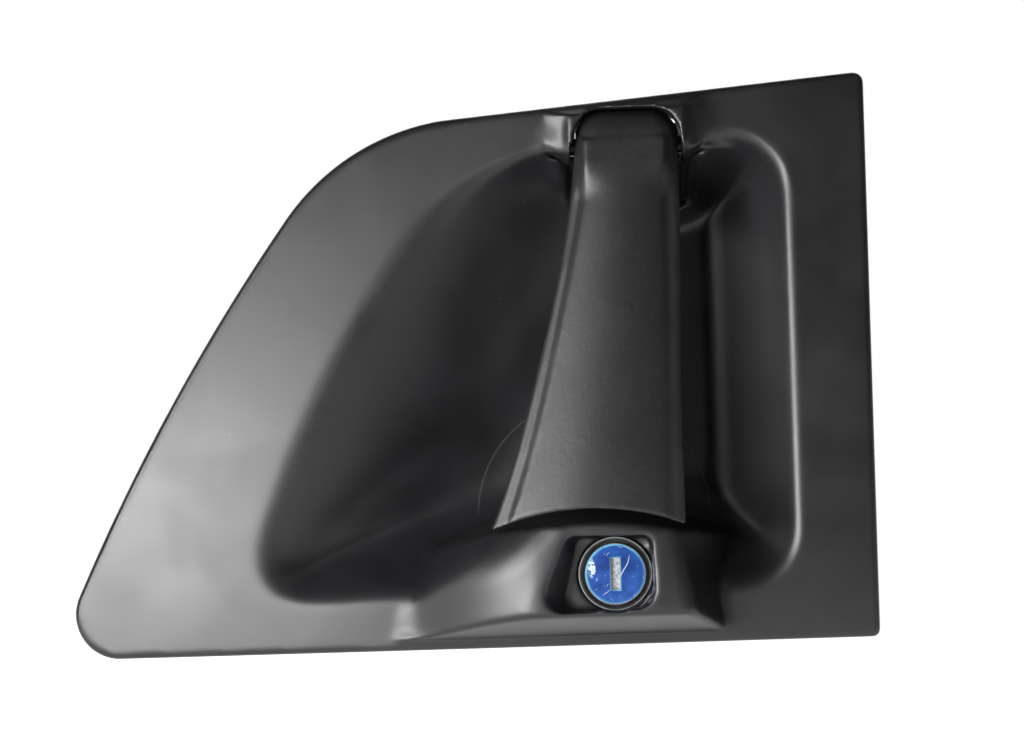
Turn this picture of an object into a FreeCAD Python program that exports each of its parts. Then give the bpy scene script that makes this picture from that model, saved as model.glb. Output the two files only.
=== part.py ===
import FreeCAD, Part
import math
import os
from types import SimpleNamespace

import Sketcher

# A pull-type outside door handle for a truck cab. X is to the right as one faces the door,
# Z is up and -Y points outwards, away from the door. Y = 0 is the plane in which the rim of
# the housing meets the door skin, and the origin is the centre of its four threaded inserts.

V = FreeCAD.Vector

SIZES = [
    # Outline of the housing, seen from the front
    ("plate_right", 95.2, "right edge of the plate"),
    ("plate_bottom", -86.9, "bottom edge of the plate"),
    ("top_right_z", 119.1, "height of the top edge at the right edge"),
    ("top_left_x", -59.2, "left end of the straight top edge"),
    ("top_left_z", 105.9, "height of that end"),
    ("brow_mid_x", -91.5, "middle of the arc that rounds the top left"),
    ("brow_mid_z", 94.6, "height of that middle"),
    ("side_top_x", -118.2, "top of the long left edge"),
    ("side_top_z", 69.6, "height of that top"),
    ("side_mid_x", -158.3, "middle of the long left edge"),
    ("side_mid_z", 9.0, "height of that middle"),
    ("side_low_x", -196.6, "bottom of the long left edge"),
    ("side_low_z", -63.5, "height of that bottom"),
    ("heel_mid_x", -195.6, "middle of the bottom left corner"),
    ("heel_mid_z", -79.6, "height of that middle"),
    ("heel_end_x", -183.5, "right end of the bottom left corner"),
    ("top_corner_radius", 5.0, "top right corner of the outline"),
    ("foot_corner_radius", 2.7, "bottom right corner of the outline"),
    # Front surface, as heights above the mounting plane
    ("plate_rise", 14.5, "height of the plate at its highest"),
    ("crown_across", 6.0, "fall of the plate towards its left end"),
    ("skin_wall", 3.0, "wall of the moulding"),
    ("recess_right", 66.5, "right rim of the hand recess"),
    ("recess_top", 99.0, "top rim of the hand recess"),
    ("recess_bottom", -67.5, "bottom rim of the hand recess"),
    ("recess_floor", -25.0, "floor of the hand recess"),
    ("recess_rim_radius", 5.0, "rounding of the rim of the recess"),
    ("recess_floor_radius", 10.0, "rounding round the floor of the recess"),
    ("plate_edge_radius", 2.0, "rounding of the outer edge of the plate"),
    ("pod_edge_radius", 2.0, "rounding of the edges of the lock pod"),
    ("rib_sheet", 1.8, "ribs behind the plate"),
    ("hood_rise", 19.0, "height of the hood round the hinge barrel"),
    ("pod_rise", 38.0, "front of the lock pod"),
    ("arch_top", -41.0, "top of the arch over the lock pod"),
    ("pod_middle", -11.0, "middle of that arch"),
    ("pod_foot", 4.0, "height of the front surface along the bottom edge"),
    # Rim that meets the door
    ("flange_width", 8.6, "width of the rim"),
    ("gasket_inset", 3.0, "rim outside the gasket groove"),
    ("gasket_width", 3.4, "width of the gasket"),
    ("gasket_depth", 3.0, "depth of the gasket groove"),
    ("gasket_play", 0.1, "gap each side of the gasket"),
    ("insert_spacing_x", 164.0, "distance between fixing inserts across"),
    ("insert_spacing_z", 148.0, "distance between fixing inserts up"),
    ("insert_radius", 3.9, "outside of a threaded insert"),
    ("insert_bore", 2.5, "core of its thread"),
    ("insert_length", 8.0, "length of an insert"),
    ("boss_wall", 2.2, "wall of a boss round what it holds"),
    # Grip and its hinge
    ("hinge_y", -8.5, "axis of the hinge behind the front"),
    ("hinge_z", 95.0, "height of the hinge axis"),
    ("barrel_left", -10.5, "left end of the hinge barrel"),
    ("barrel_right", 27.3, "right end of the hinge barrel"),
    ("barrel_radius", 12.6, "outside of the hinge barrel"),
    ("barrel_shoulder", 10.0, "rounding of the ends of the barrel"),
    ("barrel_gap", 0.6, "gap between barrel and housing"),
    ("grip_wall", 3.0, "wall of the grip"),
    ("grip_end_z", -36.3, "middle of the arched lower end of the grip"),
    ("grip_end_radius", 91.0, "radius of that arch"),
    ("grip_end_x", -10.0, "centre of that arch, across"),
    ("grip_edge_radius", 2.4, "rounding along the front of the grip"),
    ("cover_thickness", 2.4, "back cover of the grip"),
    ("pin_radius", 3.0, "hinge pin"),
    ("pin_left", -15.5, "left end of the hinge pin"),
    ("pin_right", 32.5, "right end of the hinge pin"),
    ("pin_play", 0.05, "running clearance round a pin"),
    ("clip_thickness", 1.0, "spring clips"),
    ("bush_radius", 4.6, "outside of the hinge bushes"),
    ("bush_flange_radius", 7.4, "flange of the hinge bushes"),
    ("bush_flange", 1.2, "thickness of that flange"),
    ("bush_length", 8.5, "sleeve of a hinge bush"),
    ("core_radius", 9.0, "barrel of the hinge casting"),
    ("core_play", 0.2, "gap between casting and grip moulding"),
    ("arm_middle", 8.5, "middle of the hinge arm, across"),
    ("arm_width", 8.0, "width of the hinge arm"),
    ("arm_reach", 33.0, "from hinge axis to the middle of the shoe"),
    ("shoe_radius", 4.0, "contact shoe on the hinge arm"),
    # Mechanism behind the recess
    ("bracket_left", -12.0, "left side of the steel bracket"),
    ("bracket_right", 29.0, "right side of the steel bracket"),
    ("bracket_sheet", 2.0, "steel of the bracket"),
    ("bracket_base_y", 35.0, "face of the bosses that carry the bracket"),
    ("bracket_screw_left", -3.0, "left bracket screws"),
    ("bracket_screw_right", 20.0, "right bracket screws"),
    ("bracket_screw_low", 45.0, "lower bracket screws"),
    ("bracket_screw_high", 70.0, "upper bracket screws"),
    ("bracket_screw_radius", 2.0, "shank of a bracket screw"),
    ("buffer_radius", 4.0, "rubber buffer"),
    ("lever_y", 49.0, "pivot of the release lever"),
    ("lever_pin_radius", 3.0, "pivot pin of the release lever"),
    ("lever_hub_radius", 6.5, "hub of the release lever"),
    ("lever_bush_wall", 1.2, "bush in that hub"),
    ("lever_gap", 0.4, "gap between shoe and release lever at rest"),
    ("rod_arm_z", 60.0, "height of the rod clip"),
    ("rod_radius", 2.1, "bore for the rod to the latch"),
    ("spring_wire", 0.75, "half the thickness of the spring wire"),
    ("spring_turns", 4.0, "turns of the return spring"),
    # Lock
    ("lock_x", -1.1, "axis of the lock, across"),
    ("lock_z", -60.1, "height of the axis of the lock"),
    ("lock_radius", 13.2, "outside of the lock barrel"),
    ("lock_play", 0.2, "gap between lock barrel and pod"),
    ("lock_front", -32.0, "front of the face cap"),
    ("lock_lip", -31.0, "front of the lip of the barrel"),
    ("lock_floor", -28.0, "floor of the counterbore behind the cap"),
    ("lock_back", 7.0, "rear of the lock barrel"),
    ("pocket_floor", -29.0, "floor of the finger pocket round the lock"),
    ("cap_radius", 11.0, "face cap of the lock"),
    ("cap_sheet", 1.5, "thickness of its face"),
    ("film_sheet", 0.12, "protective film"),
    ("slot_width", 3.1, "key slot in the cap"),
    ("slot_height", 11.2, "height of the key slot"),
    ("plug_radius", 7.4, "plug of the lock"),
    ("plug_play", 0.06, "running clearance of the plug"),
    ("wafer_pitch", 2.6, "pitch of the wafers"),
    ("wafer_sheet", 1.0, "thickness of a wafer"),
    ("tail_sheet", 2.0, "thickness of the tail lever"),
    ("tail_reach", 16.0, "from lock axis to the rod hole of the tail"),
    ("shank_side", 7.0, "square end of the plug"),
]


class Size:
    """A size that carries its number and the sheet formula that gives it."""

    def __init__(self, number, formula):
        self.number = number
        self.formula = formula

    def __add__(self, other):
        other = as_size(other)
        return Size(self.number + other.number, f"({self.formula} + {other.formula})")

    def __sub__(self, other):
        other = as_size(other)
        return Size(self.number - other.number, f"({self.formula} - {other.formula})")

    def __mul__(self, factor):
        return Size(self.number * factor, f"({self.formula} * {factor})")

    def __truediv__(self, divisor):
        return Size(self.number / divisor, f"({self.formula} / {divisor})")

    def __neg__(self):
        return Size(-self.number, f"(0 - {self.formula})")

    __radd__ = __add__


def as_size(value):
    if isinstance(value, Size):
        return value
    return Size(float(value), f"{float(value)}")


doc = FreeCAD.newDocument("door_handle")
sheet = doc.addObject("Spreadsheet::Sheet", "Sizes")
for row, (alias, number, note) in enumerate(SIZES, start=1):
    sheet.set(f"A{row}", note)
    sheet.set(f"B{row}", str(number))
    sheet.setAlias(f"B{row}", alias)
doc.recompute()

s = SimpleNamespace(**{alias: Size(number, f"Sizes.{alias}") for alias, number, note in SIZES})
n = SimpleNamespace(**{alias: number for alias, number, note in SIZES})

TURNS = {
    "X": FreeCAD.Rotation(V(0, 1, 0), 90),
    "Y": FreeCAD.Rotation(V(1, 0, 0), -90),
    "Z": FreeCAD.Rotation(),
}
NODES = []


# Helpers


def bind(thing, **sizes):
    """Tie properties of an object to the sheet."""
    for prop, value in sizes.items():
        value = as_size(value)
        thing.setExpression(prop, value.formula)


def place(thing, at, turn=None):
    if turn is not None:
        thing.Placement = FreeCAD.Placement(V(0, 0, 0), turn)
    for letter, value in zip("xyz", at):
        thing.setExpression(f"Placement.Base.{letter}", as_size(value).formula)


def rod(name, along, at, length, radius):
    """A cylinder along X, Y or Z that starts at a point."""
    thing = doc.addObject("Part::Cylinder", name)
    bind(thing, Height=length, Radius=radius)
    place(thing, at, TURNS[along])
    return thing


def block(name, low, high):
    """A box between two corners."""
    thing = doc.addObject("Part::Box", name)
    sides = [as_size(b) - a for a, b in zip(low, high)]
    bind(thing, Length=sides[0], Width=sides[1], Height=sides[2])
    place(thing, low)
    return thing


def fuse(name, *things):
    thing = doc.addObject("Part::MultiFuse", name)
    thing.Shapes = list(things)
    return thing


def cut(name, base, *tools):
    thing = doc.addObject("Part::Cut", name)
    thing.Base = base
    thing.Tool = tools[0] if len(tools) == 1 else fuse(f"{name}_tools", *tools)
    return thing


def compound(name, *things):
    thing = doc.addObject("Part::Compound", name)
    thing.Links = list(things)
    return thing


def solid(name, shape):
    """A solid whose shape is worked out here, such as a free-form skin."""
    thing = doc.addObject("Part::Feature", name)
    thing.Shape = shape
    return thing


def ring(name, along, at, length, outer, inner):
    """A tube, such as a bush, that starts at a point."""
    shift = {"X": (-1, 0, 0), "Y": (0, -1, 0), "Z": (0, 0, -1)}[along]
    start = [as_size(a) + b for a, b in zip(at, shift)]
    return cut(name, rod(f"{name}_outside", along, at, length, outer),
               rod(f"{name}_inside", along, start, as_size(length) + 2, inner))


def plane_of(body, role):
    return next(f for f in body.Origin.OriginFeatures if f.Role == role)


def outline_sketch(body, name, role, corners, circles=(), offset=0):
    """A closed polygon and round holes on one of the body's planes, every place constrained."""
    sketch = body.newObject("Sketcher::SketchObject", name)
    sketch.AttachmentSupport = (plane_of(body, role), [""])
    sketch.MapMode = "FlatFace"
    sketch.setExpression("AttachmentOffset.Base.z", as_size(offset).formula)
    corners = [[as_size(value) for value in corner] for corner in corners]
    count = len(corners)
    for here, there in zip(corners, corners[1:] + corners[:1]):
        start = V(here[0].number, here[1].number, 0)
        end = V(there[0].number, there[1].number, 0)
        sketch.addGeometry(Part.LineSegment(start, end))
    for index in range(count):
        sketch.addConstraint(Sketcher.Constraint("Coincident", index, 2, (index + 1) % count, 1))
    for index, corner in enumerate(corners):
        pin_point(sketch, index, 1, corner)
    for index, (across, up, radius) in enumerate(circles, start=count):
        across, up, radius = as_size(across), as_size(up), as_size(radius)
        centre = V(across.number, up.number, 0)
        sketch.addGeometry(Part.Circle(centre, V(0, 0, 1), radius.number))
        pin_point(sketch, index, 3, (across, up))
        held = sketch.addConstraint(Sketcher.Constraint("Radius", index, radius.number))
        sketch.setExpression(f"Constraints[{held}]", radius.formula)
    return sketch


def pin_point(sketch, geometry, which, point):
    for kind, value in zip(("DistanceX", "DistanceY"), point):
        value = as_size(value)
        held = sketch.addConstraint(Sketcher.Constraint(kind, -1, 1, geometry, which, value.number))
        sketch.setExpression(f"Constraints[{held}]", value.formula)


def new_body(name):
    return doc.addObject("PartDesign::Body", name)


def pad(body, name, sketch, length, backwards=False):
    feature = body.newObject("PartDesign::Pad", name)
    feature.Profile = sketch
    feature.Reversed = backwards
    bind(feature, Length=length)
    return feature


def pocket(body, name, sketch, length, backwards=False):
    feature = body.newObject("PartDesign::Pocket", name)
    feature.Profile = sketch
    feature.Reversed = backwards
    bind(feature, Length=length)
    return feature


def node(name, thing):
    """Name a finished piece. Its label names its file."""
    thing.Label = name
    NODES.append(thing)
    return thing


# Forms of the housing


RECESS_SIDES = [
    # corner across and up, corner radius at the rim and at the floor, steepness of the next wall
    (n.recess_right, n.recess_top, 26.0, 9.0, 1.5),
    (-47.0, n.recess_top, 36.0, 12.0, 0.6),
    (-108.0, 16.0, 120.0, 30.0, 0.6),
    (-136.0, n.recess_bottom, 27.0, 9.0, 1.2),
    (n.recess_right, n.recess_bottom, 24.0, 9.0, 1.6),
]


def rounded_polygon(corners, y):
    """A wire round (x, z, radius) corners at one depth."""
    edges = []
    joints = []
    count = len(corners)
    for index, (x, z, radius) in enumerate(corners):
        here = V(x, y, z)
        last = V(corners[index - 1][0], y, corners[index - 1][1])
        after = V(corners[(index + 1) % count][0], y, corners[(index + 1) % count][1])
        back = (last - here).normalize()
        ahead = (after - here).normalize()
        half = back.getAngle(ahead) / 2
        reach = radius / math.tan(half)
        centre = here + (back + ahead).normalize() * (radius / math.sin(half))
        middle = centre + (here - centre).normalize() * radius
        joints.append((here + back * reach, middle, here + ahead * reach))
    for index, (start, middle, end) in enumerate(joints):
        edges.append(Part.Arc(start, middle, end).toShape())
        edges.append(Part.LineSegment(end, joints[(index + 1) % count][0]).toShape())
    return Part.Wire(edges)


def moved_corners(corners, moves):
    """Corners of a polygon whose sides each move outwards by a distance of their own."""
    count = len(corners)
    lines = []
    for index, (start, move) in enumerate(zip(corners, moves)):
        end = corners[(index + 1) % count]
        along = (end[0] - start[0], end[1] - start[1])
        length = math.hypot(*along)
        outward = (along[1] / length, -along[0] / length)
        lines.append((start[0] + outward[0] * move, start[1] + outward[1] * move, *along))
    result = []
    for index in range(count):
        ax, az, bx, bz = lines[index - 1]
        cx, cz, dx, dz = lines[index]
        across = bx * dz - bz * dx
        reach = ((cx - ax) * dz - (cz - az) * dx) / across
        result.append((ax + bx * reach, az + bz * reach))
    return result


def recess_wire(height, wall):
    """Outline of the hand recess at one height, its walls moved out by a wall."""
    rise = height - n.plate_rise
    depth = n.plate_rise - n.recess_floor
    corners = [(x, z) for x, z, rim, floor, steep in RECESS_SIDES]
    moves = [rise / steep + wall * math.sqrt(1 + steep * steep) / steep
             for x, z, rim, floor, steep in RECESS_SIDES]
    places = moved_corners(corners, moves)
    points = []
    for (x, z), (_, _, rim, floor, _) in zip(places, RECESS_SIDES):
        radius = rim + (rim - floor) * rise / depth + wall
        points.append((x, z, radius))
    return rounded_polygon(points, -height)


def recess_form(wall):
    """The space of the hand recess, or that space with a wall round it."""
    floor = n.recess_floor - wall
    wires = [recess_wire(n.plate_rise + 7.5, wall), recess_wire(floor, wall)]
    form = Part.makeLoft(wires, True, True)
    floor_edges = [edge for edge in form.Edges if edge.BoundBox.YMin > -floor - 0.1]
    return form.makeFillet(n.recess_floor_radius + wall, floor_edges)


def closed_face(edges):
    return Part.Face(Part.Wire(edges))


def line(a, b):
    return Part.LineSegment(V(*a), V(*b)).toShape()


def behind_plate(wall):
    """Everything behind the gently crowned front of the plate."""
    rise = n.plate_rise - wall
    flat_from = 40.0
    reach = 255.0
    fall = n.crown_across * (reach / 237.0) ** 2
    left = (flat_from - reach, fall - rise, 0)
    middle = (flat_from - reach / 2, fall / 4 - rise, 0)
    right = (flat_from, -rise, 0)
    far = n.plate_right + 30.0
    edges = [
        Part.Arc(V(*left), V(*middle), V(*right)).toShape(),
        line(right, (far, -rise, 0)),
        line((far, -rise, 0), (far, 80, 0)),
        line((far, 80, 0), (left[0], 80, 0)),
        line((left[0], 80, 0), left),
    ]
    face = closed_face(edges)
    face.translate(V(0, 0, n.plate_bottom - 20.0))
    return face.extrude(V(0, 0, n.top_right_z - n.plate_bottom + 40.0))


ARCH_RADIUS = 138.4


def upper_crossing(start, along, centre, radius):
    """Where a line leaves a circle, looking along the line."""
    ox, oz = start[0] - centre[0], start[1] - centre[1]
    a = along[0] ** 2 + along[1] ** 2
    b = 2 * (ox * along[0] + oz * along[1])
    c = ox * ox + oz * oz - radius * radius
    reach = (-b + math.sqrt(b * b - 4 * a * c)) / (2 * a)
    return start[0] + along[0] * reach, start[1] + along[1] * reach


def pod_wire(height, wall):
    """Outline of the lock pod at one height: right flank, arched top and left flank."""
    drop = n.pod_rise - height
    arch = drop / 14.0 + max(drop - 55.0, 0.0) / 2.0 - wall
    left_out = min(drop, 13.0) + max(drop - 13.0, 0.0) / 2.2 - wall * 1.3
    right_out = drop / 1.9 - wall * 1.13
    radius = ARCH_RADIUS + arch
    centre = (n.pod_middle, n.arch_top - ARCH_RADIUS)
    low = -112.0
    right = (21.0 + right_out * 1.014, -45.0)
    right_top = upper_crossing(right, (-1.0, 6.0), centre, radius)
    right_low = (right[0] + (right[1] - low) / 6.0, low)
    left = (-26.0 - 0.72 * left_out, -43.0 + 0.69 * left_out)
    left_top = upper_crossing(left, (0.69, 0.72), centre, radius)
    left_low = (left[0] + (low - left[1]) / 0.72 * 0.69, low)
    middle_x = (right_top[0] + left_top[0]) / 2
    middle = (middle_x, centre[1] + math.sqrt(radius ** 2 - (middle_x - centre[0]) ** 2))
    points = [V(x, -height, z) for x, z in (right_low, right_top, middle, left_top, left_low)]
    return Part.Wire([
        Part.LineSegment(points[0], points[1]).toShape(),
        Part.Arc(points[1], points[2], points[3]).toShape(),
        Part.LineSegment(points[3], points[4]).toShape(),
        Part.LineSegment(points[4], points[0]).toShape(),
    ])


def ease(t):
    t = min(max(t, 0.0), 1.0)
    return t * t * (3 - 2 * t)


def pod_ridge(wall):
    """Everything behind the ridge that climbs from the left to the front of the pod."""
    low = 10.0
    places = [-100.0 + 8.0 * step for step in range(10)]
    heights = [low - wall + (n.pod_rise - low) * ease((x + 97.0) / 69.0) for x in places]
    curve = Part.BSplineCurve()
    curve.interpolate([V(x, -height, 0) for x, height in zip(places, heights)])
    first = tuple(curve.StartPoint)
    last = tuple(curve.EndPoint)
    corner = (70.0, last[1], 0.0)
    edges = [
        curve.toShape(),
        line(last, corner),
        line(corner, (70.0, 90.0, 0.0)),
        line((70.0, 90.0, 0.0), (first[0], 90.0, 0.0)),
        line((first[0], 90.0, 0.0), first),
    ]
    face = closed_face(edges)
    face.translate(V(0, 0, -120.0))
    return face.extrude(V(0, 0, 140.0))


def above_underside(wall):
    """Everything above the sloping underside of the pod."""
    steepness = 2.8
    foot = n.plate_bottom + wall * 1.06
    front = foot + (60.0 - n.pod_foot) / steepness
    rear = foot - (90.0 + n.pod_foot) / steepness
    corners = [V(-140, -60, front), V(-140, 90, rear), V(-140, 90, 10), V(-140, -60, 10)]
    return Part.Face(Part.makePolygon(corners + corners[:1])).extrude(V(240, 0, 0))


def pod_form(wall, depth):
    """The lock pod, or the space inside its wall, down to a depth."""
    heights = [n.pod_rise + 4.0, n.pod_rise - 13.0, -10.0, -max(depth, 12.0)]
    wires = [pod_wire(height, wall) for height in heights]
    parts = [Part.makeLoft([above, below], True, True) for above, below in zip(wires, wires[1:])]
    body = parts[0].fuse(parts[1:])
    body = body.common(pod_ridge(wall)).common(above_underside(wall))
    if wall:
        return body
    edges = [edge for edge in body.Edges if edge.BoundBox.YMax < -5.0]
    return body.makeFillet(n.pod_edge_radius, edges)


def hood_form():
    """The low hood round the hinge barrel, which holds the ends of the hinge pin."""
    levels = [
        (-6.0, [(-22, 90), (-10, 83), (27, 83), (40, 92), (40, 104), (-22, 104)]),
        (n.plate_rise, [(-21, 96), (-11.5, 89.5), (28.5, 90), (38, 97), (37, 112.2), (-21, 107.5)]),
        (n.hood_rise, [(-14, 98), (-10.5, 92), (28, 93), (31, 98), (29, 108), (-12, 106)]),
    ]
    wires = []
    for height, corners in levels:
        points = [V(x, -height, z) for x, z in corners]
        wires.append(Part.makePolygon(points + points[:1]))
    return Part.makeLoft(wires, True, True)


# Outline of the housing


def front_wire(points):
    """A closed wire in the plane Y = 0 from straight runs and three-point arcs."""
    edges = []
    for run in points:
        ends = [V(x, 0, z) for x, z in run]
        if len(ends) == 2:
            edges.append(Part.LineSegment(*ends).toShape())
        else:
            edges.append(Part.Arc(*ends).toShape())
    return Part.Wire(edges)


def housing_outline():
    slope = math.atan2(n.top_right_z - n.top_left_z, n.plate_right - n.top_left_x)
    turn = math.pi / 2 + slope
    reach = n.top_corner_radius / math.tan(turn / 2)
    corner = V(n.plate_right, 0, n.top_right_z)
    before = (corner.x, corner.z - reach)
    after = (corner.x - reach * math.cos(slope), corner.z - reach * math.sin(slope))
    centre = (corner.x - n.top_corner_radius, before[1])
    toward = (corner.x - centre[0], corner.z - centre[1])
    span = math.hypot(*toward)
    middle = tuple(c + t * n.top_corner_radius / span for c, t in zip(centre, toward))
    foot = n.foot_corner_radius
    bend = foot * (1 - math.sqrt(0.5))
    heel_end = (n.heel_end_x, n.plate_bottom)
    foot_start = (n.plate_right - foot, n.plate_bottom)
    foot_end = (n.plate_right, n.plate_bottom + foot)
    foot_middle = (n.plate_right - bend, n.plate_bottom + bend)
    top_left = (n.top_left_x, n.top_left_z)
    side_top = (n.side_top_x, n.side_top_z)
    side_low = (n.side_low_x, n.side_low_z)
    return front_wire([
        (heel_end, foot_start),
        (foot_start, foot_middle, foot_end),
        (foot_end, before),
        (before, middle, after),
        (after, top_left),
        (top_left, (n.brow_mid_x, n.brow_mid_z), side_top),
        (side_top, (n.side_mid_x, n.side_mid_z), side_low),
        (side_low, (n.heel_mid_x, n.heel_mid_z), heel_end),
    ])


def prism(wire, inset, low, high):
    """The outline, drawn in by an inset, from one depth to another."""
    if inset:
        wire = wire.makeOffset2D(-inset)
    wire = wire.copy()
    wire.translate(V(0, low, 0))
    return Part.Face(wire).extrude(V(0, high - low, 0))


def barrel_form(grow):
    """The round hinge barrel, or the space round it."""
    radius = n.barrel_radius + grow
    left = n.barrel_left - grow
    right = n.barrel_right + grow
    form = Part.makeCylinder(radius, right - left, V(left, n.hinge_y, n.hinge_z), V(1, 0, 0))
    rims = [e for e in form.Edges if isinstance(e.Curve, Part.Circle)]
    return form.makeFillet(n.barrel_shoulder, rims)


def aperture_form():
    """The opening in front of the hinge barrel, which follows its outline."""
    left = n.barrel_left - n.barrel_gap
    right = n.barrel_right + n.barrel_gap
    top = n.hinge_z + n.barrel_radius + n.barrel_gap
    low = n.hinge_z - n.barrel_radius
    round_end = n.barrel_shoulder + n.barrel_gap
    corners = [(left, top, round_end), (left, low, 1.0), (right, low, 1.0), (right, top, round_end)]
    return Part.Face(rounded_polygon(corners, n.hinge_y)).extrude(V(0, -40, 0))


def along_hinge(radius, left, right):
    return Part.makeCylinder(radius, right - left, V(left, n.hinge_y, n.hinge_z), V(1, 0, 0))


def lock_cylinder(radius, low, high):
    return Part.makeCylinder(radius, high - low, V(n.lock_x, low, n.lock_z), V(0, 1, 0))


INSERT_PLACES = [(side * n.insert_spacing_x / 2, level * n.insert_spacing_z / 2)
                 for side in (-1, 1) for level in (-1, 1)]
SCREW_PLACES = [(across, up) for across in (s.bracket_screw_left, s.bracket_screw_right)
                for up in (s.bracket_screw_low, s.bracket_screw_high)]
CLIP_PLANE = -6.0


BUSH_OUTER_LEFT = n.barrel_left + 2.6
BUSH_OUTER_RIGHT = n.barrel_right - 2.6
APERTURE_REAR = -n.gasket_depth - 1.2
EAR_REAR = n.hinge_y + n.pin_radius + 0.4
SNAP = 0.35


def front_edges(form, left, right, top):
    """The edges that lie in the front surface of the plate, within limits."""
    edges = []
    for edge in form.Edges:
        box = edge.BoundBox
        in_front = -n.plate_rise - 0.5 < box.YMin and box.YMax < -7.0
        if in_front and left < box.XMin and box.XMax < right and box.ZMax < top:
            edges.append(edge)
    return edges


RIB_LEVELS = (62.0, 22.0, -18.0, -50.0)


def make_ribs(outline):
    """Ribs that stiffen the plate from behind, from its rim to the wall of the recess."""
    room = prism(outline, n.skin_wall, -60.0, -1.5).common(behind_plate(1.0))
    room = room.cut([recess_form(1.0), pod_form(1.0, 60.0)])
    ribs = [Part.makeBox(300, 60, n.rib_sheet, V(-200, -60, level)) for level in RIB_LEVELS]
    return [rib.common(room) for rib in ribs]


def make_housing():
    outline = housing_outline()
    wall = n.skin_wall
    plate = behind_plate(0.0).common(prism(outline, 0, -60.0, 0.0))
    plate = plate.makeFillet(n.plate_edge_radius, front_edges(plate, -200.0, 100.0, 120.0))
    recess_outside = recess_form(wall).common(behind_plate(0.0))
    pod = pod_form(0.0, -n.recess_floor + wall)
    pod = pod.common(prism(outline, 0, -60.0, 0.0).fuse(recess_outside))
    hood = hood_form().common(Part.makeBox(300, 60 + EAR_REAR, 300, V(-150, -60, -100)))
    dished = plate.fuse(recess_outside).cut(recess_form(0.0))
    dished = dished.makeFillet(n.recess_rim_radius, front_edges(dished, -150.0, 90.0, 105.0))
    front = dished.fuse([pod, hood])
    inside = prism(outline, n.flange_width, -60.0, 1.0)
    hollow = behind_plate(wall).common(inside).cut([recess_form(wall), hood])
    rim_top = -n.plate_rise + wall
    pod_inside = prism(outline, wall, -60.0, rim_top).fuse(prism(outline, n.flange_width, rim_top - 1, 60.0))
    pod_hollow = pod_form(wall, 60.0).common(pod_inside)
    body = front.cut([hollow, pod_hollow])
    added = []
    insert_boss = n.insert_radius + n.boss_wall
    boss_length = n.plate_rise - wall - 1.0
    for x, z in INSERT_PLACES:
        added.append(Part.makeCylinder(insert_boss, boss_length, V(x, -boss_length, z), V(0, 1, 0)))
    for x, z in SCREW_PLACES:
        boss = n.bracket_screw_radius + n.boss_wall
        column = Part.makeCylinder(boss, n.bracket_base_y, V(x.number, 0, z.number), V(0, 1, 0))
        added.append(column.cut(recess_form(0.5)))
    lock_boss = lock_cylinder(n.lock_radius + n.lock_play + wall, -n.pod_rise, CLIP_PLANE)
    added.append(lock_boss.common(pod_form(0.0, 10.0)))
    added.append(pocket_form(wall).common(pod_form(0.0, 10.0)))
    added.extend(make_ribs(outline))
    body = body.fuse(added)
    above_groove = Part.makeBox(100, 40, 40, V(-40, APERTURE_REAR, n.hinge_z))
    core_way = along_hinge(n.core_radius + 0.9, BUSH_OUTER_LEFT - 1.7, BUSH_OUTER_RIGHT + 1.7)
    blade_way = Part.makeBox(40.6, 40, 18.5, V(-12.4, -40, n.hinge_z - 17))
    taken = [pocket_form(0.0), barrel_form(n.barrel_gap).cut(above_groove), core_way, blade_way,
             aperture_form()]
    taken.append(lock_cylinder(n.lock_radius + n.lock_play, -n.pod_rise - 2, 2.0))
    for x, z in INSERT_PLACES:
        bore = n.insert_length + 1.0
        taken.append(Part.makeCylinder(n.insert_radius, bore + 1, V(x, -bore, z), V(0, 1, 0)))
    for x, z in SCREW_PLACES:
        start = V(x.number, n.bracket_base_y - 7.5, z.number)
        taken.append(Part.makeCylinder(n.bracket_screw_radius, 9, start, V(0, 1, 0)))
    saddle = n.pin_radius + n.pin_play
    span = n.pin_right - n.pin_left
    pin_start = V(n.pin_left, n.hinge_y, n.hinge_z)
    taken.append(Part.makeCylinder(saddle, span, pin_start, V(1, 0, 0)))
    mouth = saddle - SNAP
    taken.append(Part.makeBox(span, 20, 2 * mouth, V(n.pin_left, n.hinge_y, n.hinge_z - mouth)))
    slot = n.arm_width + 6.0
    taken.append(Part.makeBox(slot, 38, 25, V(n.arm_middle - slot / 2, -6, 73)))
    groove_out = prism(outline, n.gasket_inset, -n.gasket_depth, 1.0)
    groove_width = n.gasket_width + 2 * n.gasket_play
    groove_in = prism(outline, n.gasket_inset + groove_width, -n.gasket_depth - 1, 2.0)
    taken.append(groove_out.cut(groove_in))
    return body.cut(taken)


def pocket_form(wall):
    """The finger pocket round the lock, wide in front and close round the lock behind."""
    front = rounded_polygon([
        (-19.5 - wall, -45.6 + wall, 5.0 + wall),
        (-33.0 - wall, -74.0 - wall, 7.0 + wall),
        (12.9 + wall, -72.0 - wall, 6.0 + wall),
        (12.6 + wall, -46.2 + wall, 4.0 + wall),
    ], -n.pod_rise - 2.0)
    back = rounded_polygon([
        (-14.2 - wall, -46.6 + wall, 3.5 + wall),
        (-20.0 - wall, -73.4 - wall, 5.0 + wall),
        (12.3 + wall, -72.2 - wall, 5.0 + wall),
        (12.2 + wall, -46.9 + wall, 3.5 + wall),
    ], n.pocket_floor + wall)
    return Part.makeLoft([front, back], True, True)


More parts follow.
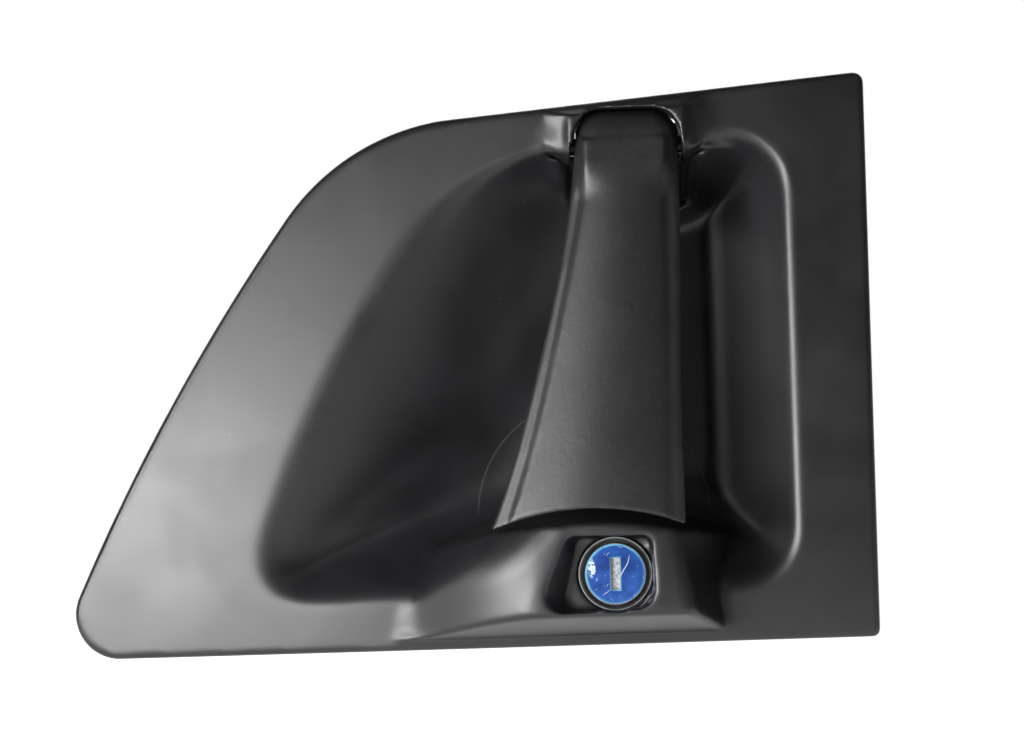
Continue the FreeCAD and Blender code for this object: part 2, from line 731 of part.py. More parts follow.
def build_housing():
    node("housing", solid("housing_skin", make_housing()))
    outline = housing_outline()
    inset = n.gasket_inset + n.gasket_play
    outside = prism(outline, inset, -n.gasket_depth, 0.0)
    inside = prism(outline, inset + n.gasket_width, -n.gasket_depth - 1, 1.0)
    node("perimeter_gasket", solid("gasket_strip", outside.cut(inside)))
    inserts = []
    for index, (side, level) in enumerate(((-1, -1), (-1, 1), (1, -1), (1, 1))):
        at = (s.insert_spacing_x * (side / 2), -s.insert_length, s.insert_spacing_z * (level / 2))
        inserts.append(ring(f"insert_{index}", "Y", at, s.insert_length,
                            s.insert_radius - 0.05, s.insert_bore))
    node("threaded_inserts", compound("inserts", *inserts))


# Grip


GRIP_STATIONS = [
    # height, left edge, right edge, front left, front right, front height, back height
    (97.0, -10.4, 27.2, -7.6, 21.6, 21.4, -2.0),
    (78.0, -12.6, 26.9, -8.4, 20.8, 25.2, 6.0),
    (50.0, -17.8, 26.3, -13.7, 20.2, 29.6, 12.5),
    (16.0, -26.3, 25.3, -21.6, 19.4, 33.6, 16.5),
    (-15.0, -35.3, 25.0, -29.8, 18.3, 36.6, 19.2),
    (-50.0, -48.5, 24.8, -41.5, 18.4, 38.6, 21.0),
]
FACET_DEPTH = 7.5


def grip_form(inset, back_inset):
    """The faceted grip, its sides and front drawn in by a wall."""
    sections = []
    for level, left, right, front_left, front_right, front, back in GRIP_STATIONS:
        low = back + back_inset
        high = front - inset
        shoulder = front - FACET_DEPTH
        corners = [
            (front_left + inset * 0.7, high),
            (front_right - inset * 0.7, high),
            (right - inset, shoulder),
            (right - inset - 1.0, low),
            (left + inset + 1.5, low),
            (left + inset, shoulder),
        ]
        points = [V(x, -height, level) for x, height in corners]
        sections.append(Part.makePolygon(points + points[:1]))
    return Part.makeLoft(sections, True, False)


def end_arch(grow):
    """The round space below the arched lower end of the grip."""
    centre = V(n.grip_end_x, -80, n.grip_end_z - n.grip_end_radius)
    return Part.makeCylinder(n.grip_end_radius + grow, 120, centre, V(0, 1, 0))


BELOW_BARREL = n.hinge_z - n.barrel_radius - 2.0
TONGUE_LEFT = -2.0
TONGUE_RIGHT = 19.0
TONGUE_PROFILE = [(-17.5, 84.0), (-26.5, 26.0), (-21.2, 26.0), (-13.8, 76.0), (-3.0, 89.0), (-14.8, 92.0)]
TONGUE_SCREWS = [(8.5, 38.0), (8.5, 62.0)]
TONGUE_SCREW_RADIUS = 2.4
COVER_SCREWS = [(-3.0, 8.0), (-14.0, -24.0)]
COVER_SCREW_RADIUS = 1.9


def at_station(level, column):
    """A value of the grip's stations at a height between them."""
    above = [row for row in GRIP_STATIONS if row[0] >= level][-1]
    below = [row for row in GRIP_STATIONS if row[0] <= level][0]
    if above is below:
        return above[column]
    share = (level - below[0]) / (above[0] - below[0])
    return below[column] + share * (above[column] - below[column])


def make_grip_shell():
    blade = grip_form(0.0, 0.0)
    ridges = [edge for edge in blade.Edges if edge.BoundBox.ZLength > 100 and edge.BoundBox.YMin < -30]
    blade = blade.makeFillet(n.grip_edge_radius, ridges)
    behind_top = Part.makeBox(80, 40, 40, V(-30, n.hinge_y, n.hinge_z))
    outside = blade.cut(end_arch(0.0)).fuse(barrel_form(0.0)).cut(behind_top)
    room = Part.makeBox(120, 80, BELOW_BARREL + 80, V(-60, -60, -80))
    cavity = grip_form(n.grip_wall, -6.0).common(room).cut(end_arch(n.grip_wall))
    pieces = [outside.cut(cavity)]
    for x, z in TONGUE_SCREWS:
        rear = tongue_front(z) - 0.7
        boss = Part.makeCylinder(4.6, 40, V(x, rear - 40, z), V(0, 1, 0))
        pieces.append(boss.common(blade))
    for x, z in COVER_SCREWS:
        rear = -at_station(z, 6) - n.cover_thickness - 0.9
        boss = Part.makeCylinder(4.0, 40, V(x, rear - 40, z), V(0, 1, 0))
        pieces.append(boss.common(blade))
    shell = pieces[0].fuse(pieces[1:])
    play = n.core_play
    inner_left = BUSH_OUTER_LEFT + n.bush_flange - play
    inner_right = BUSH_OUTER_RIGHT - n.bush_flange + play
    bore = along_hinge(n.core_radius + play, inner_left, inner_right)
    flange_way = along_hinge(n.bush_flange_radius + play, BUSH_OUTER_LEFT - play,
                             BUSH_OUTER_RIGHT + play)
    pin_way = along_hinge(n.pin_radius + 0.5, n.barrel_left - 1, n.barrel_right + 1)
    rear_door = Part.makeBox(inner_right - inner_left, 20, 2 * (n.core_radius + play),
                             V(inner_left, n.hinge_y, n.hinge_z - n.core_radius - play))
    flange_door = Part.makeBox(
        BUSH_OUTER_RIGHT - BUSH_OUTER_LEFT + 2 * play, 20, 2 * (n.bush_flange_radius + play),
        V(BUSH_OUTER_LEFT - play, n.hinge_y, n.hinge_z - n.bush_flange_radius - play))
    tongue_way = yz_prism(TONGUE_PROFILE, TONGUE_LEFT - play, TONGUE_RIGHT + play, play)
    tools = [bore, flange_way, pin_way, rear_door, flange_door, tongue_way]
    for x, z in TONGUE_SCREWS:
        rear = tongue_front(z)
        tools.append(Part.makeCylinder(TONGUE_SCREW_RADIUS, 7, V(x, rear - 6.0, z), V(0, 1, 0)))
    for x, z in COVER_SCREWS:
        rear = -at_station(z, 6) - n.cover_thickness
        tools.append(Part.makeCylinder(COVER_SCREW_RADIUS, 9, V(x, rear - 8.0, z), V(0, 1, 0)))
    return shell.cut(tools)


def tongue_front(z):
    """Depth of the front face of the casting's tongue at a height."""
    (top_y, top_z), (low_y, low_z) = TONGUE_PROFILE[:2]
    return low_y + (top_y - low_y) * (z - low_z) / (top_z - low_z)


def tongue_back(z):
    (low_y, low_z), (top_y, top_z) = TONGUE_PROFILE[2:4]
    return low_y + (top_y - low_y) * (z - low_z) / (top_z - low_z)


def tongue_seat(z):
    """Depth of the spot face under the head of a screw in the tongue."""
    return tongue_back(z) - 0.9


def cover_slab():
    """A sheet as thick as the back cover that follows the back of the grip."""
    sections = []
    for level, left, right, front_left, front_right, front, back in GRIP_STATIONS:
        inner = back + n.cover_thickness
        corners = [(left - 5, back), (right + 5, back), (right + 5, inner), (left - 5, inner)]
        points = [V(x, -height, level) for x, height in corners]
        sections.append(Part.makePolygon(points + points[:1]))
    return Part.makeLoft(sections, True, False)


def make_back_cover():
    play = 0.15
    room = Part.makeBox(120, 80, BELOW_BARREL - 3.0 + 80, V(-60, -60, -80))
    cover = grip_form(n.grip_wall + play, -6.0).common(cover_slab()).common(room)
    cover = cover.cut(end_arch(n.grip_wall + play))
    holes = []
    for x, z in COVER_SCREWS:
        seat = -at_station(z, 6) - 1.2
        holes.append(Part.makeCylinder(COVER_SCREW_RADIUS + 0.2, 60, V(x, -50, z), V(0, 1, 0)))
        holes.append(Part.makeCylinder(3.6, 30, V(x, seat, z), V(0, 1, 0)))
    return cover.cut(holes)


def yz_prism(profile, left, right, grow=0.0):
    """A flat part whose profile lies in the plane across the hinge."""
    points = [V(left, y, z) for y, z in profile]
    wire = Part.makePolygon(points + points[:1])
    if grow:
        wire = wire.makeOffset2D(grow, 2)
    return Part.Face(wire).extrude(V(right - left, 0, 0))


def make_hinge_casting():
    inner_left = BUSH_OUTER_LEFT + n.bush_flange
    inner_right = BUSH_OUTER_RIGHT - n.bush_flange
    barrel = along_hinge(n.core_radius, inner_left, inner_right)
    tongue = yz_prism(TONGUE_PROFILE, TONGUE_LEFT, TONGUE_RIGHT)
    left = n.arm_middle - n.arm_width / 2
    tip = n.hinge_y + n.arm_reach
    arm = yz_prism([
        (n.hinge_y, n.hinge_z - 6.5),
        (tip, n.hinge_z - 2.6),
        (tip + 3.0, n.hinge_z),
        (tip, n.hinge_z + 4.4),
        (n.hinge_y, n.hinge_z + 6.0),
    ], left, left + n.arm_width)
    casting = barrel.fuse([tongue, arm])
    bores = [along_hinge(n.bush_radius + 0.02, inner_left - 1, inner_right + 1)]
    for x, z in TONGUE_SCREWS:
        bores.append(Part.makeCylinder(TONGUE_SCREW_RADIUS + 0.3, 40, V(x, -40, z), V(0, 1, 0)))
        bores.append(Part.makeCylinder(4.6, 30, V(x, tongue_seat(z), z), V(0, 1, 0)))
    shoe_seat = Part.makeBox(
        n.arm_width + 2, 2 * n.shoe_radius, n.shoe_radius,
        V(left - 1, tip - n.shoe_radius, n.hinge_z - n.shoe_radius - 0.6))
    return casting.cut(bores + [shoe_seat])


def make_contact_shoe():
    left = n.arm_middle - n.arm_width / 2
    tip = n.hinge_y + n.arm_reach
    wheel = Part.makeCylinder(n.shoe_radius, n.arm_width, V(left, tip, n.hinge_z), V(1, 0, 0))
    above = Part.makeBox(40, 40, 40, V(left - 10, tip - 20, n.hinge_z - 0.6))
    return wheel.cut(above)


def build_grip():
    node("grip_shell", solid("grip_moulding", make_grip_shell()))
    node("grip_back_cover", solid("grip_cover_plate", make_back_cover()))
    node("hinge_casting", solid("hinge_die_casting", make_hinge_casting()))
    node("contact_shoe", solid("arm_shoe", make_contact_shoe()))
    bushes = []
    for index, (flange_x, sleeve_x) in enumerate((
            (BUSH_OUTER_LEFT, BUSH_OUTER_LEFT + n.bush_flange),
            (BUSH_OUTER_RIGHT - n.bush_flange, BUSH_OUTER_RIGHT - n.bush_flange - n.bush_length))):
        flange = rod(f"bush_flange_{index}", "X", (flange_x, s.hinge_y, s.hinge_z),
                     s.bush_flange, s.bush_flange_radius)
        sleeve = rod(f"bush_sleeve_{index}", "X", (sleeve_x, s.hinge_y, s.hinge_z),
                     s.bush_length, s.bush_radius)
        bore = rod(f"bush_bore_{index}", "X", (min(flange_x, sleeve_x) - 1.0, s.hinge_y, s.hinge_z),
                   s.bush_length + s.bush_flange + 2.0, s.pin_radius + s.pin_play)
        bushes.append(cut(f"hinge_bush_{index}", fuse(f"bush_blank_{index}", flange, sleeve), bore))
    node("hinge_bushes", compound("bushes", *bushes))
    node("hinge_pin", rod("hinge_rod", "X", (s.pin_left + 0.1, s.hinge_y, s.hinge_z),
                          s.pin_right - s.pin_left - 0.2, s.pin_radius))
    node("casting_screws", screw_set("casting_screw", [
        (x, tongue_seat(z), z, TONGUE_SCREW_RADIUS - 0.05, 4.2, 2.0,
         tongue_seat(z) - tongue_front(z) + 5.0)
        for x, z in TONGUE_SCREWS]))
    node("cover_screws", screw_set("cover_screw", [
        (x, -at_station(z, 6) - 1.2, z, COVER_SCREW_RADIUS - 0.05, 3.3, 1.0, 8.5)
        for x, z in COVER_SCREWS]))


def screw_set(name, screws):
    """Pan head screws driven forwards: place of the head's seat, shank, head and length."""
    made = []
    for index, (x, y, z, radius, head_radius, head_height, length) in enumerate(screws):
        shank = rod(f"{name}_shank_{index}", "Y", (x, as_size(y) - length, z), length, radius)
        head = rod(f"{name}_head_{index}", "Y", (x, as_size(y) + 0.02, z), head_height, head_radius)
        neck = rod(f"{name}_neck_{index}", "Y", (x, as_size(y) - 0.5, z), 1.0, radius)
        drive = rod(f"{name}_drive_{index}", "Y", (x, as_size(y) + head_height * 0.5, z),
                    head_height, as_size(radius) * 0.7)
        made.append(cut(f"{name}_{index}", fuse(f"{name}_blank_{index}", shank, head, neck), drive))
    return compound(f"{name}_set", *made)


# Mechanism behind the recess


def build_bracket():
    body = new_body("bracket_body")
    base = s.bracket_base_y
    back = base + s.bracket_sheet
    top = s.hinge_z + 9.0
    side = [(base, s.bracket_screw_low - 7.0), (base, s.bracket_screw_high + 8.0),
            (s.hinge_y + 21.0, s.hinge_z - 2.0), (s.hinge_y + 21.0, top), (s.hinge_y + 37.0, top),
            (s.lever_y + 7.0, s.hinge_z + 7.0), (s.lever_y + 7.0, s.hinge_z - 8.0),
            (back + 5.0, s.bracket_screw_low + 7.0), (back, s.bracket_screw_low - 7.0)]
    sketch = outline_sketch(body, "bracket_side", "YZ_Plane", side,
                            [(s.lever_y, s.hinge_z, s.lever_pin_radius + 0.03)],
                            offset=s.bracket_left)
    width = s.bracket_right - s.bracket_left
    pad(body, "bracket_blank", sketch, width)
    room = [(back, s.bracket_screw_low - 20.0), (back, s.bracket_screw_high + 6.0),
            (s.hinge_y + 15.0, s.hinge_z - 4.0), (s.hinge_y + 15.0, top - s.bracket_sheet),
            (s.hinge_y + 34.0, top - s.bracket_sheet), (s.hinge_y + 34.0, top + 10.0),
            (s.lever_y + 20.0, top + 10.0), (s.lever_y + 20.0, s.bracket_screw_low - 20.0)]
    between = outline_sketch(body, "bracket_room", "YZ_Plane", room,
                             offset=s.bracket_left + s.bracket_sheet)
    doc.recompute()
    before = body.Shape.Volume
    cutout = pocket(body, "bracket_channel", between, width - s.bracket_sheet * 2, backwards=True)
    doc.recompute()
    if body.Shape.Volume > before * 0.8:
        cutout.Reversed = False
    holes = []
    for index, (x, z) in enumerate(SCREW_PLACES):
        holes.append(rod(f"bracket_hole_{index}", "Y", (x, base - 5.0, z), 12.0,
                         s.bracket_screw_radius + 0.2))
    buffer_x = s.arm_middle
    buffer_y = s.hinge_y + 28.0
    holes.append(rod("buffer_hole", "Z", (buffer_x, buffer_y, top - 6.0), 10.0, 1.8))
    node("mechanism_bracket", cut("bracket", body, *holes))
    node("bracket_screws", screw_set("bracket_screw", [
        (x, back, z, s.bracket_screw_radius - 0.05, 3.8, 2.4, 9.0) for x, z in SCREW_PLACES]))
    arm_top = s.hinge_z + 4.95
    pad_low = rod("buffer_pad", "Z", (buffer_x, buffer_y, arm_top + 0.05),
                  top - s.bracket_sheet - 0.02 - arm_top - 0.05, s.buffer_radius)
    stem = rod("buffer_stem", "Z", (buffer_x, buffer_y, top - 3.0), 3.4, 1.75)
    knob = rod("buffer_knob", "Z", (buffer_x, buffer_y, top + 0.02), 1.2, 2.8)
    node("stop_buffer", fuse("buffer", pad_low, stem, knob))


LEVER_HUB_RIGHT = 14.0


def build_release_lever():
    hub_left = s.bracket_left + s.bracket_sheet + 0.4
    hub = rod("lever_hub", "X", (hub_left, s.lever_y, s.hinge_z), -hub_left + LEVER_HUB_RIGHT,
              s.lever_hub_radius)
    bore_radius = s.lever_pin_radius + s.lever_bush_wall + s.pin_play
    bore = rod("lever_bore", "X", (hub_left - 1.0, s.lever_y, s.hinge_z),
               -hub_left + LEVER_HUB_RIGHT + 2.0, bore_radius)
    finger = new_body("lever_finger_body")
    top = s.hinge_z - s.shoe_radius - s.lever_gap
    tip = s.hinge_y + s.arm_reach - 4.0
    shape = [(tip, top - 3.6), (tip, top), (s.lever_y - 10.0, top), (s.lever_y, s.hinge_z + 5.0),
             (s.lever_y + 4.0, s.hinge_z - 4.0), (s.lever_y - 8.0, top - 5.6)]
    sketch = outline_sketch(finger, "finger_side", "YZ_Plane", shape,
                            offset=s.arm_middle - s.arm_width / 2 - 0.5)
    pad(finger, "finger_plate", sketch, s.arm_width + 1.0)
    drop = new_body("lever_drop_body")
    drop_shape = [(s.lever_y - 5.0, s.rod_arm_z - 3.0), (s.lever_y - 5.5, s.hinge_z),
                  (s.lever_y + 5.5, s.hinge_z), (s.lever_y + 6.0, s.rod_arm_z - 3.0),
                  (s.lever_y + 3.0, s.rod_arm_z - 6.0), (s.lever_y - 2.0, s.rod_arm_z - 6.0)]
    drop_sketch = outline_sketch(drop, "drop_side", "YZ_Plane", drop_shape,
                                 [(s.lever_y + 1.0, s.rod_arm_z, s.rod_radius + 1.2)],
                                 offset=hub_left)
    pad(drop, "drop_plate", drop_sketch, 3.0)
    node("release_lever", cut("lever", fuse("lever_blank", hub, finger, drop), bore))
    node("lever_bush", ring("lever_sleeve", "X", (hub_left + 0.1, s.lever_y, s.hinge_z),
                            -hub_left + LEVER_HUB_RIGHT - 0.2, bore_radius - 0.02,
                            s.lever_pin_radius + s.pin_play))
    clip_at = (s.lever_y + 1.0, s.rod_arm_z)
    sleeve = rod("clip_sleeve", "X", (hub_left - 0.02, *clip_at), 3.04, s.rod_radius + 1.15)
    collar = rod("clip_collar", "X", (hub_left + 3.02, *clip_at), 2.4, s.rod_radius + 2.6)
    lip = rod("clip_lip", "X", (hub_left - 0.9, *clip_at), 0.88, s.rod_radius + 1.7)
    way = rod("clip_way", "X", (hub_left - 2.0, *clip_at), 10.0, s.rod_radius)
    node("rod_clip", cut("rod_bush", fuse("rod_clip_blank", sleeve, collar, lip), way))
    pin_start = s.bracket_left - 0.1
    pin_length = s.bracket_right - s.bracket_left + 3.2
    shank = rod("pivot_shank", "X", (pin_start, s.lever_y, s.hinge_z), pin_length, s.lever_pin_radius)
    head = rod("pivot_head", "X", (pin_start - 2.0, s.lever_y, s.hinge_z), 2.05, s.lever_pin_radius + 2.0)
    groove = ring("pivot_groove", "X", (s.bracket_right + 0.1, s.lever_y, s.hinge_z),
                  s.clip_thickness + 0.1, s.lever_pin_radius + 1.0, s.lever_pin_radius - 0.6)
    node("lever_pivot_pin", cut("pivot", fuse("pivot_blank", shank, head), groove))
    clip = ring("pivot_clip_disc", "X", (s.bracket_right + 0.15, s.lever_y, s.hinge_z),
                s.clip_thickness, s.lever_pin_radius + 2.6, s.lever_pin_radius - 0.5)
    mouth = block("pivot_clip_mouth", (s.bracket_right - 1.0, s.lever_y, s.hinge_z - 1.6),
                  (s.bracket_right + 3.0, s.lever_y + 12.0, s.hinge_z + 1.6))
    node("lever_pivot_clip", cut("pivot_clip", clip, mouth))
    node("lever_return_spring", solid("spring", make_return_spring()))


def wire_run(points, radius):
    """A bent wire through a row of points."""
    parts = []
    for start, end in zip(points, points[1:]):
        parts.append(Part.makeCylinder(radius, (end - start).Length, start, end - start))
        parts.append(Part.makeSphere(radius, end))
    return parts[0].fuse(parts[1:])


def make_return_spring():
    """A torsion spring round the pivot: one leg hooks the bracket, one lifts the lever."""
    wire = n.spring_wire
    coil = n.lever_hub_radius - 0.9
    pitch = 2 * wire + 0.12
    left = LEVER_HUB_RIGHT + 1.6
    length = n.spring_turns * pitch
    up = V(0, 0, 1)
    turns = []
    for half in range(int(2 * n.spring_turns)):
        side = coil if half % 2 == 0 else -coil
        start = V(left + pitch * half / 2, n.lever_y + side, n.hinge_z)
        step = V(pitch / 2, -2 * side, 0)
        axis = up.cross(step) if half % 2 == 0 else step.cross(up)
        disc = Part.Face(Part.Wire(Part.makeCircle(wire, start, up)))
        turns.append(disc.revolve(start + step / 2, axis, 180))
    rear = n.lever_y + coil
    under_finger = n.hinge_z - n.shoe_radius - n.lever_gap - 4.95 - wire
    lifting = wire_run([
        V(left, rear, n.hinge_z),
        V(left, rear, n.hinge_z - 4.0),
        V(left, n.lever_y - 1.0, under_finger),
        V(left, n.lever_y - 16.0, under_finger),
        V(n.arm_middle, n.lever_y - 16.0, under_finger),
    ], wire)
    hook = n.lever_y + 7.1 + wire
    hooking = wire_run([
        V(left + length, rear, n.hinge_z),
        V(left + length, hook, n.hinge_z + 4.5),
        V(n.bracket_right + 1.5, hook, n.hinge_z + 4.5),
    ], wire)
    return turns[0].fuse(turns[1:] + [lifting, hooking])


# Lock


def lock_rod(name, start, length, radius):
    return rod(name, "Y", (s.lock_x, start, s.lock_z), length, radius)


def lock_block(name, half_width, low_y, high_y, low_z, high_z):
    """A box centred across on the axis of the lock."""
    return block(name, (s.lock_x - half_width, low_y, s.lock_z + low_z),
                 (s.lock_x + half_width, high_y, s.lock_z + high_z))


SHUTTER_ROOM = 5.0
TAIL_GAP = 0.3


def build_lock():
    barrel = lock_rod("barrel_blank", s.lock_lip, s.lock_back - s.lock_lip, s.lock_radius)
    counterbore = lock_rod("barrel_counterbore", s.lock_lip - 1.0, s.lock_floor - s.lock_lip + 1.0,
                           s.cap_radius + 1.2)
    way = lock_rod("barrel_way", s.lock_lip - 1.0, 60.0, s.plug_radius + s.plug_play)
    seal_at = s.pocket_floor + 6.0
    seal_groove = ring("barrel_seal_groove", "Y", (s.lock_x, seal_at, s.lock_z), 2.2,
                       s.lock_radius + 2.0, s.lock_radius - 1.4)
    flat = s.lock_radius - 1.8
    flats = []
    for index, side in enumerate((-1, 1)):
        near = flat * side
        far = (flat + 6.0) * side
        low, high = (near, far) if side > 0 else (far, near)
        flats.append(block(f"barrel_flat_{index}",
                           (s.lock_x + low, CLIP_PLANE + 0.1, s.lock_z - 20.0),
                           (s.lock_x + high, CLIP_PLANE + 1.8, s.lock_z + 20.0)))
    node("lock_barrel", cut("barrel", barrel, counterbore, way, seal_groove, *flats))
    node("lock_seal", ring("seal", "Y", (s.lock_x, seal_at + 0.1, s.lock_z), 2.0,
                           s.lock_radius + s.lock_play - 0.02, s.lock_radius - 1.38))
    fork = block("fork_plate", (s.lock_x - 17.0, CLIP_PLANE + 0.15, s.lock_z - 16.0),
                 (s.lock_x + 17.0, CLIP_PLANE + 1.65, s.lock_z + 14.6))
    fork_way = block("fork_way", (s.lock_x - flat - 0.05, CLIP_PLANE - 1.0, s.lock_z - 20.0),
                     (s.lock_x + flat + 0.05, CLIP_PLANE + 3.0, s.lock_z + s.lock_radius + 0.1))
    node("lock_retaining_clip", cut("fork", fork, fork_way))

    flange_front = s.lock_front + s.cap_sheet
    flange = lock_rod("plug_flange", flange_front, s.lock_floor - flange_front - 0.3, s.cap_radius - 0.45)
    core = lock_rod("plug_core", flange_front, s.lock_back - flange_front + 0.3, s.plug_radius)
    shank_half = s.shank_side / 2
    shank = lock_block("plug_shank", shank_half, s.lock_back + 0.2,
                       s.lock_back + 0.3 + s.tail_sheet, -shank_half, shank_half)
    tenon = lock_rod("plug_tenon", s.lock_back + 0.2, s.tail_sheet + 3.0, 3.2)
    groove_at = s.lock_back + TAIL_GAP + s.tail_sheet + 0.2
    groove = ring("plug_groove", "Y", (s.lock_x, groove_at, s.lock_z), s.clip_thickness + 0.1, 5.0, 2.5)
    keyway = lock_block("plug_keyway", 1.25, flange_front - 1.0, -10.0, -4.4, 4.4)
    chamber = lock_block("plug_chamber", 2.6, flange_front - 1.0, flange_front + SHUTTER_ROOM, -6.4, 6.4)
    wafers = []
    slots = []
    for index in range(6):
        start = as_size(-10.6) - s.wafer_pitch * index
        slots.append(lock_block(f"wafer_slot_{index}", 2.9, start - 0.08,
                                start + s.wafer_sheet + 0.08, -9.0, 9.0))
        plate = lock_block(f"wafer_plate_{index}", 2.8, start, start + s.wafer_sheet, -6.6, 6.6)
        lift = 0.5 if index % 2 else -0.4
        window = lock_block(f"wafer_window_{index}", 1.5, start - 1.0, start + 3.0,
                            -4.2 + lift, 4.2 + lift)
        wafers.append(cut(f"wafer_{index}", plate, window))
    blank = fuse("plug_blank", flange, core, shank, tenon)
    node("lock_plug", cut("plug", blank, groove, keyway, chamber, *slots))
    node("lock_wafers", compound("wafer_set", *wafers))

    disc = lock_rod("cap_disc", s.lock_front, s.cap_sheet, s.cap_radius)
    skirt = ring("cap_skirt", "Y", (s.lock_x, flange_front - 0.01, s.lock_z),
                 s.lock_floor - flange_front - 0.5, s.cap_radius, s.cap_radius - 0.42)
    slot = lock_block("cap_slot", s.slot_width / 2, s.lock_front - 1.0, flange_front + 0.5,
                      -s.slot_height / 2, s.slot_height / 2)
    node("lock_face_cap", cut("cap", fuse("cap_blank", disc, skirt), slot))
    film = lock_rod("film_disc", s.lock_front - s.film_sheet, s.film_sheet, s.cap_radius - 0.25)
    film_slot = lock_block("film_slot", s.slot_width / 2 + 0.2, s.lock_front - 1.0, s.lock_front + 1.0,
                           -s.slot_height / 2 - 0.2, s.slot_height / 2 + 0.2)
    node("protective_film", cut("film", film, film_slot))

    flap_front = flange_front + 0.15
    flap = block("shutter_flap", (s.lock_x - 2.0, flap_front, s.lock_z - 6.0),
                 (s.lock_x + 2.1, flap_front + 0.7, s.lock_z + 6.0))
    barrel_pin = rod("shutter_barrel", "Z", (s.lock_x - 1.75, flap_front + 0.6, s.lock_z - 6.2),
                     12.4, 0.55)
    node("key_shutter", fuse("shutter", flap, barrel_pin))

    tail = new_body("tail_body")
    reach = s.lock_z - s.tail_reach
    plate = [(s.lock_x - 6.0, s.lock_z + 4.0), (s.lock_x - 3.0, s.lock_z + 7.0),
             (s.lock_x + 3.0, s.lock_z + 7.0), (s.lock_x + 6.0, s.lock_z + 4.0),
             (s.lock_x + 4.2, reach - 2.0), (s.lock_x + 2.0, reach - 4.5),
             (s.lock_x - 2.0, reach - 4.5), (s.lock_x - 4.2, reach - 2.0)]
    sketch = outline_sketch(tail, "tail_outline", "XZ_Plane", plate,
                            [(s.lock_x, reach, s.rod_radius)],
                            offset=-(s.lock_back + TAIL_GAP + s.tail_sheet))
    pad(tail, "tail_plate", sketch, s.tail_sheet)
    hole = lock_block("tail_hole", shank_half + 0.05, s.lock_back, s.lock_back + 6.0,
                      -shank_half - 0.05, shank_half + 0.05)
    node("tail_lever", cut("tail", tail, hole))
    circlip = ring("circlip_disc", "Y", (s.lock_x, groove_at + 0.05, s.lock_z), s.clip_thickness,
                   5.4, 2.6)
    circlip_mouth = lock_block("circlip_mouth", 1.3, groove_at - 1.0, groove_at + 3.0, 0.0, 9.0)
    node("tail_circlip", cut("circlip", circlip, circlip_mouth))


def write_nodes():
    """Check every object and write each piece to a file named for it."""
    doc.recompute()
    for thing in doc.Objects:
        if "Invalid" in thing.State or "Error" in thing.State:
            raise RuntimeError(f"{thing.Label} could not be built")
    os.makedirs("parts", exist_ok=True)
    for piece in NODES:
        if piece.Shape.isNull() or not piece.Shape.isValid():
            raise RuntimeError(f"{piece.Label} has no valid shape")
        piece.Shape.exportStep(f"parts/{piece.Label}.step")


build_housing()
build_grip()
build_bracket()
build_release_lever()
build_lock()
write_nodes()
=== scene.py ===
"""Looks of a recessed door handle for a truck cab, with a pull grip and a key lock."""
import math

import bmesh
import bpy
import numpy as np
from mathutils import Matrix, Vector


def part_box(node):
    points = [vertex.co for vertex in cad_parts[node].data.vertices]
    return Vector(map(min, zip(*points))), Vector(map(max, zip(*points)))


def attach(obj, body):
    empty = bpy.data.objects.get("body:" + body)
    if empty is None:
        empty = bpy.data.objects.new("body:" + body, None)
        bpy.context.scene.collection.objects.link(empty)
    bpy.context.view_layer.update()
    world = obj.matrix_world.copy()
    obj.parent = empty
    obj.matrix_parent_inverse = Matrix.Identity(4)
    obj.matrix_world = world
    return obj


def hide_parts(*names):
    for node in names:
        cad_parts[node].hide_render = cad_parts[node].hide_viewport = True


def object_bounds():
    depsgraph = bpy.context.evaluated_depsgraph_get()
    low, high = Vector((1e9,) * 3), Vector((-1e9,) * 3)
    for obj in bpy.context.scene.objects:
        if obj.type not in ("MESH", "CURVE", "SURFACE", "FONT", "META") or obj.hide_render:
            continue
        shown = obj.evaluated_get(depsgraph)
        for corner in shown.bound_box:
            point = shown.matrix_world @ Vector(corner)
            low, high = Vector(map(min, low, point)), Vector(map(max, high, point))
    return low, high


bl_info = {
    "name": "Truck door handle",
    "version": (1, 0, 0),
    "blender": (4, 5, 0),
    "location": "3D View > Sidebar > Door handle",
    "description": "Builds the surfaces, finishes and studio of a truck door handle",
    "category": "Object",
}

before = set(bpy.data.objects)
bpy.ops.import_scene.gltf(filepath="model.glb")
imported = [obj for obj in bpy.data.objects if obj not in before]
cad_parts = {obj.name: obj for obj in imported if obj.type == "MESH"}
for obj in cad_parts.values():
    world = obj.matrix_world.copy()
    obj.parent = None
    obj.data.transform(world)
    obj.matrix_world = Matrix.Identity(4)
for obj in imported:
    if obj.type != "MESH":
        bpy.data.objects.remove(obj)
CAD_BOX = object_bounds()

MM = 0.001


# Colours


def hex_colour(code):
    """An sRGB hex value as linear red, green and blue."""
    parts = [int(code[i:i + 2], 16) / 255 for i in (1, 3, 5)]
    return tuple(c / 12.92 if c <= 0.04045 else ((c + 0.055) / 1.055) ** 2.4 for c in parts)


def opaque(colour):
    return (*colour[:3], 1.0)


def colour_property(name, description, code):
    return bpy.props.FloatVectorProperty(
        name=name, description=description, subtype="COLOR", size=3, min=0.0, max=1.0,
        default=hex_colour(code))


def length_property(name, description, millimetres):
    return bpy.props.FloatProperty(
        name=name, description=description, subtype="DISTANCE", unit="LENGTH",
        default=millimetres * MM)


def share_property(name, description, value):
    return bpy.props.FloatProperty(
        name=name, description=description, subtype="FACTOR", min=0.0, max=1.0, default=value)


# What a user would change


